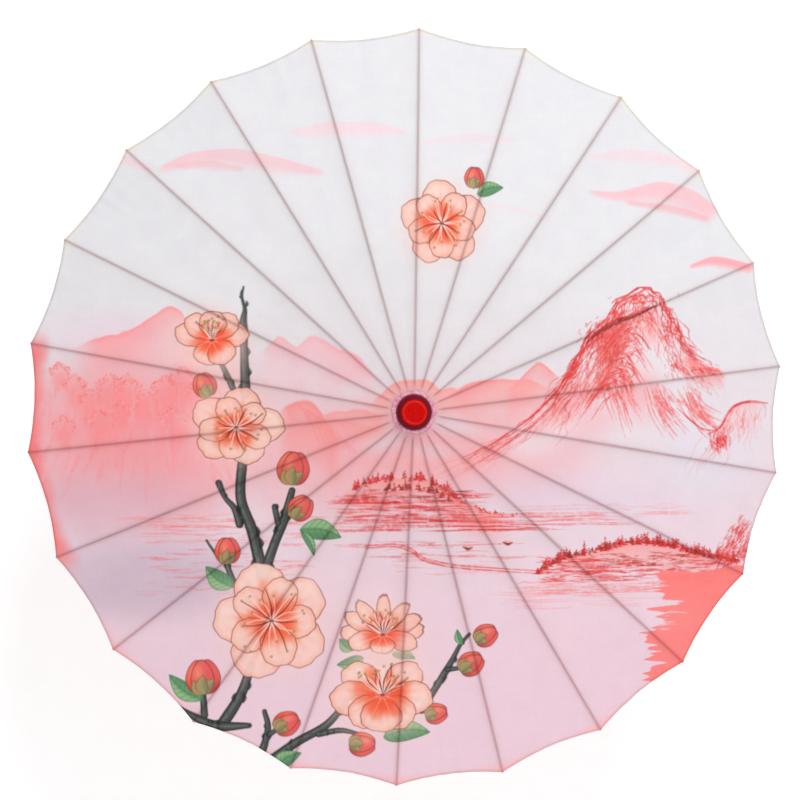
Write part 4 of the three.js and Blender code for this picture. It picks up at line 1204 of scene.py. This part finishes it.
# ---------------------------------------------------------------- materials
class Shader:
    """A small wrapper for building node materials."""

    def __init__(self, name):
        self.material = bpy.data.materials.new(name)
        self.material.use_nodes = True
        self.tree = self.material.node_tree
        self.tree.nodes.clear()
        self.output = self.tree.nodes.new("ShaderNodeOutputMaterial")

    def node(self, kind, **settings):
        made = self.tree.nodes.new(kind)
        for key, value in settings.items():
            setattr(made, key, value)
        return made

    def link(self, source, target):
        self.tree.links.new(source, target)

    def place(self):
        return self.node("ShaderNodeTexCoord").outputs["Object"]

    def stretched(self, source, scale):
        mapping = self.node("ShaderNodeMapping")
        mapping.inputs["Scale"].default_value = scale
        self.link(source, mapping.inputs["Vector"])
        return mapping.outputs["Vector"]

    def radial(self, source):
        """(turns round Z, distance from Z, height) of a point."""
        split = self.node("ShaderNodeSeparateXYZ")
        self.link(source, split.inputs[0])
        angle = self.math("ARCTAN2", split.outputs["Y"], split.outputs["X"])
        flat = self.node("ShaderNodeVectorMath", operation="MULTIPLY")
        self.link(source, flat.inputs[0])
        flat.inputs[1].default_value = (1, 1, 0)
        length = self.node("ShaderNodeVectorMath", operation="LENGTH")
        self.link(flat.outputs[0], length.inputs[0])
        made = self.node("ShaderNodeCombineXYZ")
        self.link(angle, made.inputs[0])
        self.link(length.outputs["Value"], made.inputs[1])
        self.link(split.outputs["Z"], made.inputs[2])
        return made.outputs[0], length.outputs["Value"]

    def noise(self, vector, scale, detail=4.0, rough=0.55, distortion=0.0):
        made = self.node("ShaderNodeTexNoise")
        made.inputs["Scale"].default_value = scale
        made.inputs["Detail"].default_value = detail
        made.inputs["Roughness"].default_value = rough
        made.inputs["Distortion"].default_value = distortion
        self.link(vector, made.inputs["Vector"])
        return made.outputs["Fac"]

    def wave(self, vector, scale, direction, distortion):
        made = self.node("ShaderNodeTexWave", wave_type="BANDS", bands_direction=direction)
        made.inputs["Scale"].default_value = scale
        made.inputs["Distortion"].default_value = distortion
        made.inputs["Detail"].default_value = 1.0
        self.link(vector, made.inputs["Vector"])
        return made.outputs["Fac"]

    def math(self, operation, a, b):
        made = self.node("ShaderNodeMath", operation=operation)
        for socket, value in zip(made.inputs, (a, b)):
            if isinstance(value, (int, float)):
                socket.default_value = value
            else:
                self.link(value, socket)
        return made.outputs[0]

    def ramp(self, source, stops):
        made = self.node("ShaderNodeValToRGB")
        bar = made.color_ramp
        while len(bar.elements) < len(stops):
            bar.elements.new(0.5)
        for element, (at, colour) in zip(bar.elements, stops):
            element.position = at
            element.color = (*colour, 1)
        self.link(source, made.inputs["Fac"])
        return made.outputs["Color"]

    def levels(self, source, low, high, to_low, to_high):
        made = self.node("ShaderNodeMapRange")
        for name, value in (("From Min", low), ("From Max", high), ("To Min", to_low), ("To Max", to_high)):
            made.inputs[name].default_value = value
        self.link(source, made.inputs["Value"])
        return made.outputs["Result"]

    def multiply(self, colour, by):
        made = self.node("ShaderNodeMix", data_type="RGBA", blend_type="MULTIPLY")
        made.inputs["Factor"].default_value = 1.0
        self.link(colour, made.inputs["A"])
        self.link(by, made.inputs["B"])
        return made.outputs["Result"]

    def bump(self, height, strength, distance, normal=None):
        made = self.node("ShaderNodeBump")
        made.inputs["Strength"].default_value = strength
        made.inputs["Distance"].default_value = distance
        self.link(height, made.inputs["Height"])
        if normal is not None:
            self.link(normal, made.inputs["Normal"])
        return made.outputs["Normal"]

    def surface(self, colour, rough, normal, **sockets):
        made = self.node("ShaderNodeBsdfPrincipled")
        self.link(colour, made.inputs["Base Color"])
        if isinstance(rough, float):
            made.inputs["Roughness"].default_value = rough
        else:
            self.link(rough, made.inputs["Roughness"])
        self.link(normal, made.inputs["Normal"])
        for name, value in sockets.items():
            made.inputs[name.replace("_", " ")].default_value = value
        return made.outputs[0]

    def finish(self, shader):
        self.link(shader, self.output.inputs["Surface"])
        return self.material


def cloth_material():
    """Fine satin weave over the printed colour, letting some light through."""
    s = Shader("printed_cloth")
    place = s.place()
    warp = s.wave(place, 260.0, "X", 0.4)
    weft = s.wave(place, 260.0, "Y", 0.4)
    weave = s.math("MULTIPLY", warp, weft)
    slub_x = s.noise(s.stretched(place, (60, 1500, 60)), 1.0, 3.0)
    slub_y = s.noise(s.stretched(place, (1500, 60, 60)), 1.0, 3.0)
    slub = s.math("ADD", slub_x, slub_y)
    mottle = s.noise(place, 38.0, 5.0, 0.6)
    printed = s.node("ShaderNodeAttribute", attribute_name="Print").outputs["Color"]
    tone = s.ramp(s.levels(slub, 0.7, 1.3, 0.0, 1.0), ((0.0, (0.955, 0.95, 0.955)), (1.0, (1.0, 1.0, 1.0))))
    blotch = s.ramp(mottle, ((0.3, (0.965, 0.96, 0.97)), (0.7, (1.0, 1.0, 1.0))))
    colour = s.multiply(s.multiply(printed, tone), blotch)
    rough = s.levels(slub, 0.7, 1.3, 0.56, 0.70)
    creases = s.noise(s.stretched(place, (14, 14, 14)), 1.0, 2.0, 0.5, 0.6)
    soft = s.bump(creases, 0.35, 0.0035)
    normal = s.bump(s.math("ADD", s.math("MULTIPLY", weave, 0.5), slub), 0.22, 0.00025, soft)
    face = s.surface(colour, rough, normal, Sheen_Weight=0.18, Sheen_Roughness=0.45, Specular_IOR_Level=0.32)
    through = s.node("ShaderNodeBsdfTranslucent")
    s.link(colour, through.inputs["Color"])
    s.link(normal, through.inputs["Normal"])
    both = s.node("ShaderNodeMixShader")
    both.inputs["Fac"].default_value = 0.30
    s.link(face, both.inputs[1])
    s.link(through.outputs[0], both.inputs[2])
    return s.finish(both.outputs[0])


def gathered_material():
    s = Shader("gathered_cloth")
    place = s.place()
    weave = s.math("MULTIPLY", s.wave(place, 420.0, "X", 0.5), s.wave(place, 420.0, "Y", 0.5))
    mottle = s.noise(place, 240.0, 4.0, 0.6)
    deep, middle, pale = (0.66, 0.20, 0.32), (0.82, 0.36, 0.48), (0.90, 0.54, 0.63)
    colour = s.ramp(mottle, ((0.30, deep), (0.5, middle), (0.70, pale)))
    normal = s.bump(s.math("ADD", weave, mottle), 0.5, 0.0003)
    return s.finish(s.surface(colour, 0.7, normal, Specular_IOR_Level=0.2))


def bamboo_material(name, dark, middle, light, radial):
    """Split bamboo: long fine fibres, a few darker bundles and a satin skin."""
    s = Shader(name)
    place = s.place()
    if radial:
        turns, _ = s.radial(place)
        fibres = s.noise(s.stretched(turns, (900, 14, 1500)), 1.0, 5.0, 0.6)
        bundles = s.noise(s.stretched(turns, (160, 5, 400)), 1.0, 3.0, 0.5)
    else:
        fibres = s.noise(s.stretched(place, (1600, 1600, 22)), 1.0, 5.0, 0.6)
        bundles = s.noise(s.stretched(place, (420, 420, 7)), 1.0, 3.0, 0.5)
    both = s.math("ADD", s.math("MULTIPLY", fibres, 0.6), s.math("MULTIPLY", bundles, 0.4))
    colour = s.ramp(both, ((0.34, dark), (0.5, middle), (0.66, light)))
    worn = s.noise(place, 55.0, 4.0, 0.6)
    shade = s.ramp(worn, ((0.3, (0.84, 0.80, 0.76)), (0.62, (1.0, 1.0, 1.0))))
    rough = s.levels(both, 0.35, 0.65, 0.52, 0.36)
    normal = s.bump(both, 0.35, 0.00015)
    return s.finish(s.surface(s.multiply(colour, shade), rough, normal, Specular_IOR_Level=0.45))


def wood_material(name, dark, middle, light, coat):
    """Turned wood under varnish, with the grain along the shaft and rings showing through."""
    s = Shader(name)
    place = s.place()
    rings = s.noise(s.stretched(place, (160, 160, 12)), 1.0, 5.0, 0.6, 0.7)
    pores = s.noise(s.stretched(place, (1900, 1900, 90)), 1.0, 3.0, 0.6)
    both = s.math("ADD", s.math("MULTIPLY", rings, 0.7), s.math("MULTIPLY", pores, 0.3))
    colour = s.ramp(both, ((0.36, dark), (0.52, middle), (0.68, light)))
    rough = s.levels(pores, 0.35, 0.65, 0.30, 0.44)
    normal = s.bump(both, 0.25, 0.0002)
    return s.finish(s.surface(colour, rough, normal, Coat_Weight=coat, Coat_Roughness=0.12))


def cap_material():
    """Thick red lacquer: bright on the dome and a little darker on the sunk disc, with deep crimson painted
    shade down its steep edge.
    """
    s = Shader("red_lacquer")
    place = s.place()
    _, far = s.radial(place)
    # edge and flank: deep crimson painted shade down the cap's steep side
    edge, flank = (0.15, 0.0, 0.010), (0.27, 0.0, 0.010)
    dome, disc = (0.76, 0.014, 0.007), (0.60, 0.003, 0.003)
    cloudy = s.noise(place, 170.0, 4.0, 0.6)
    wavering = s.math("ADD", far, s.math("MULTIPLY", s.math("SUBTRACT", cloudy, 0.5), 0.0022))
    stops = ((0.0, disc), (0.53, disc), (0.57, dome), (0.66, dome), (0.74, flank), (0.84, edge))
    tint = s.ramp(s.levels(wavering, 0.0, CAP_RADIUS, 0.0, 1.0), stops)
    shade = s.ramp(cloudy, ((0.3, (0.80, 0.72, 0.72)), (0.65, (1.0, 1.0, 1.0))))
    specks = s.noise(place, 1500.0, 2.0, 0.5)
    rough = s.levels(cloudy, 0.3, 0.7, 0.26, 0.40)
    normal = s.bump(s.math("ADD", cloudy, s.math("MULTIPLY", specks, 0.25)), 0.22, 0.0004)
    return s.finish(s.surface(s.multiply(tint, shade), rough, normal, Specular_IOR_Level=0.06))


def steel_material():
    s = Shader("drawn_steel")
    place = s.place()
    scratches = s.noise(s.stretched(place, (900, 900, 200)), 1.0, 4.0, 0.6)
    colour = s.ramp(scratches, ((0.3, (0.42, 0.40, 0.37)), (0.7, (0.66, 0.64, 0.60))))
    rough = s.levels(scratches, 0.3, 0.7, 0.28, 0.45)
    return s.finish(s.surface(colour, rough, s.bump(scratches, 0.2, 0.0001), Metallic=1.0))


def thread_material():
    s = Shader("wound_thread")
    turns, _ = s.radial(s.place())
    lay = s.wave(s.stretched(turns, (0, 1, 0)), 900.0, "Y", 0.2)
    fuzz = s.noise(s.place(), 1800.0, 2.0)
    both = s.math("ADD", s.math("MULTIPLY", lay, 0.6), s.math("MULTIPLY", fuzz, 0.4))
    colour = s.ramp(both, ((0.25, (0.45, 0.12, 0.20)), (0.7, (0.78, 0.38, 0.46))))
    return s.finish(s.surface(colour, 0.75, s.bump(lay, 0.6, 0.0002), Sheen_Weight=0.3))


def knob_material():
    s = Shader("painted_knob")
    blotch = s.noise(s.place(), 500.0, 4.0, 0.6)
    colour = s.ramp(blotch, ((0.3, (0.74, 0.60, 0.58)), (0.65, (0.90, 0.84, 0.82))))
    rough = s.levels(blotch, 0.3, 0.7, 0.30, 0.45)
    return s.finish(s.surface(colour, rough, s.bump(blotch, 0.25, 0.0002), Coat_Weight=0.3))


def floor_material():
    s = Shader("pale_floor")
    fine = s.noise(s.place(), 30.0, 3.0)
    colour = s.ramp(fine, ((0.3, (0.95, 0.95, 0.95)), (0.7, (0.97, 0.97, 0.97))))
    normal = s.bump(fine, 0.02, 0.001)
    glowing = {"Emission_Color": (1, 1, 1, 1), "Emission_Strength": 0.22}
    return s.finish(s.surface(colour, 0.85, normal, Specular_IOR_Level=0.1, **glowing))


# ---------------------------------------------------------------- CAD nodes
def smooth_by_angle(limit):
    """A modifier's node group that shades smooth across shallow edges and leaves the others sharp."""
    group = bpy.data.node_groups.new("smooth_shallow_edges", "GeometryNodeTree")
    group.interface.new_socket("Geometry", in_out="INPUT", socket_type="NodeSocketGeometry")
    group.interface.new_socket("Geometry", in_out="OUTPUT", socket_type="NodeSocketGeometry")
    start = group.nodes.new("NodeGroupInput")
    end = group.nodes.new("NodeGroupOutput")
    angle = group.nodes.new("GeometryNodeInputMeshEdgeAngle")
    shallow = group.nodes.new("FunctionNodeCompare")
    shallow.data_type = "FLOAT"
    shallow.operation = "LESS_THAN"
    shallow.inputs["B"].default_value = limit
    edges = group.nodes.new("GeometryNodeSetShadeSmooth")
    edges.domain = "EDGE"
    faces = group.nodes.new("GeometryNodeSetShadeSmooth")
    faces.domain = "FACE"
    group.links.new(angle.outputs["Unsigned Angle"], shallow.inputs["A"])
    group.links.new(start.outputs[0], edges.inputs["Geometry"])
    group.links.new(shallow.outputs["Result"], edges.inputs["Shade Smooth"])
    group.links.new(edges.outputs["Geometry"], faces.inputs["Geometry"])
    group.links.new(faces.outputs["Geometry"], end.inputs[0])
    return group


EDGE_BEVEL = 0.00025  # of ribs and stretchers
BEVELS = {"handle": 0.0006, "hub": 0.0003, "runner": 0.0003, "shaft": 0.0004, "catch": 0.0002}
BEVEL_LIMIT = math.radians(40)
SHADING_LIMIT = math.radians(35)


def finish_cad_nodes():
    rib = bamboo_material("rib_bamboo", (0.42, 0.25, 0.12), (0.62, 0.42, 0.23), (0.76, 0.58, 0.36), True)
    cane = bamboo_material("shaft_bamboo", (0.40, 0.22, 0.10), (0.60, 0.38, 0.19), (0.74, 0.54, 0.31), False)
    umber, brown, tan = (0.10, 0.030, 0.014), (0.20, 0.065, 0.028), (0.33, 0.12, 0.05)
    dark = wood_material("varnished_wood", umber, brown, tan, 0.5)
    pale = wood_material("turned_hub_wood", (0.30, 0.16, 0.08), (0.46, 0.27, 0.14), (0.62, 0.41, 0.24), 0.15)
    steel = steel_material()
    finishes = {
        "shaft": cane, "handle": dark, "handle_peg": cane, "hub": pale, "hub_wire": steel, "hub_peg": cane,
        "catch_pin": steel, "catch": steel, "runner": pale, "runner_wire": steel,
    }
    shading = smooth_by_angle(SHADING_LIMIT)
    for name, obj in frame["nodes"].items():
        strip = name.startswith(("rib_", "stretcher_"))
        kind = rib if strip else finishes.get(name)
        if kind is None:
            continue
        obj.data.materials.clear()
        obj.data.materials.append(kind)
        if strip or name in BEVELS:
            bevel = obj.modifiers.new("soft_edges", "BEVEL")
            bevel.width = BEVELS.get(name, EDGE_BEVEL)
            bevel.segments = 2
            bevel.limit_method = "ANGLE"
            bevel.angle_limit = BEVEL_LIMIT
            bevel.use_clamp_overlap = True
        obj.modifiers.new("shading", "NODES").node_group = shading
    return steel


# ---------------------------------------------------------------- camera, light, floor
CAMERA_PLACE = Vector((-0.0725, 0.0384, 1.95))
CAMERA_AIM = Vector((-0.0115, 0.0107, 0.45))
CAMERA_TURN = math.radians(1.709)
CAMERA_LENS = 63.5
LIGHT_AIM = Vector((0, 0, 0.4))
LIGHTS = (("key", (0.5, 2.1, 2.5), 0.9, 38), ("fill", (0.4, -2.2, 2.4), 1.8, 19))  # name, place, size, watts
WORLD_LIGHT = 0.65
FLOOR_Z = -0.004
FLOOR_HALF = 30.0


def set_camera():
    """Looking straight down, a little from the left, as the parasol is seen."""
    forward = (CAMERA_AIM - CAMERA_PLACE).normalized()
    right = forward.cross(Vector((0, 1, 0))).normalized()
    up = right.cross(forward)
    c, s = math.cos(CAMERA_TURN), math.sin(CAMERA_TURN)
    right, up = right * c + up * s, up * c - right * s
    data = bpy.data.cameras.new("camera")
    data.lens = CAMERA_LENS
    data.sensor_width = 36
    camera = bpy.data.objects.new("camera", data)
    bpy.context.scene.collection.objects.link(camera)
    rows = [(right[i], up[i], -forward[i], CAMERA_PLACE[i]) for i in range(3)]
    camera.matrix_world = Matrix([*rows, (0, 0, 0, 1)])
    bpy.context.scene.camera = camera


def area_light(name, place, size, power):
    data = bpy.data.lights.new(name, "AREA")
    data.shape = "DISK"
    data.size = size
    data.energy = power
    obj = bpy.data.objects.new(name, data)
    obj.location = place
    obj.rotation_euler = (LIGHT_AIM - Vector(place)).to_track_quat("-Z", "Y").to_euler()
    bpy.context.scene.collection.objects.link(obj)


def build_stage():
    world = bpy.data.worlds.new("studio")
    world.use_nodes = True
    back = world.node_tree.nodes["Background"]
    back.inputs["Color"].default_value = (1, 1, 1, 1)
    back.inputs["Strength"].default_value = WORLD_LIGHT
    bpy.context.scene.world = world
    low, high = -FLOOR_HALF, FLOOR_HALF
    corners = [(x, y, FLOOR_Z) for x, y in ((low, low), (high, low), (high, high), (low, high))]
    floor = new_object("floor", corners, [(0, 1, 2, 3)], False)
    floor.data.materials.append(floor_material())
    for name, place, size, power in LIGHTS:
        area_light(name, place, size, power)
    settings = bpy.context.scene.view_settings
    settings.view_transform = "Standard"
    settings.look = "None"
    settings.exposure = 0.0


set_camera()
build_stage()
steel = finish_cad_nodes()
build_canopy(cloth_material())
build_cap(cap_material())
build_gathering(gathered_material())
build_rib_tips(knob_material(), thread_material())
build_rib_pins(steel)
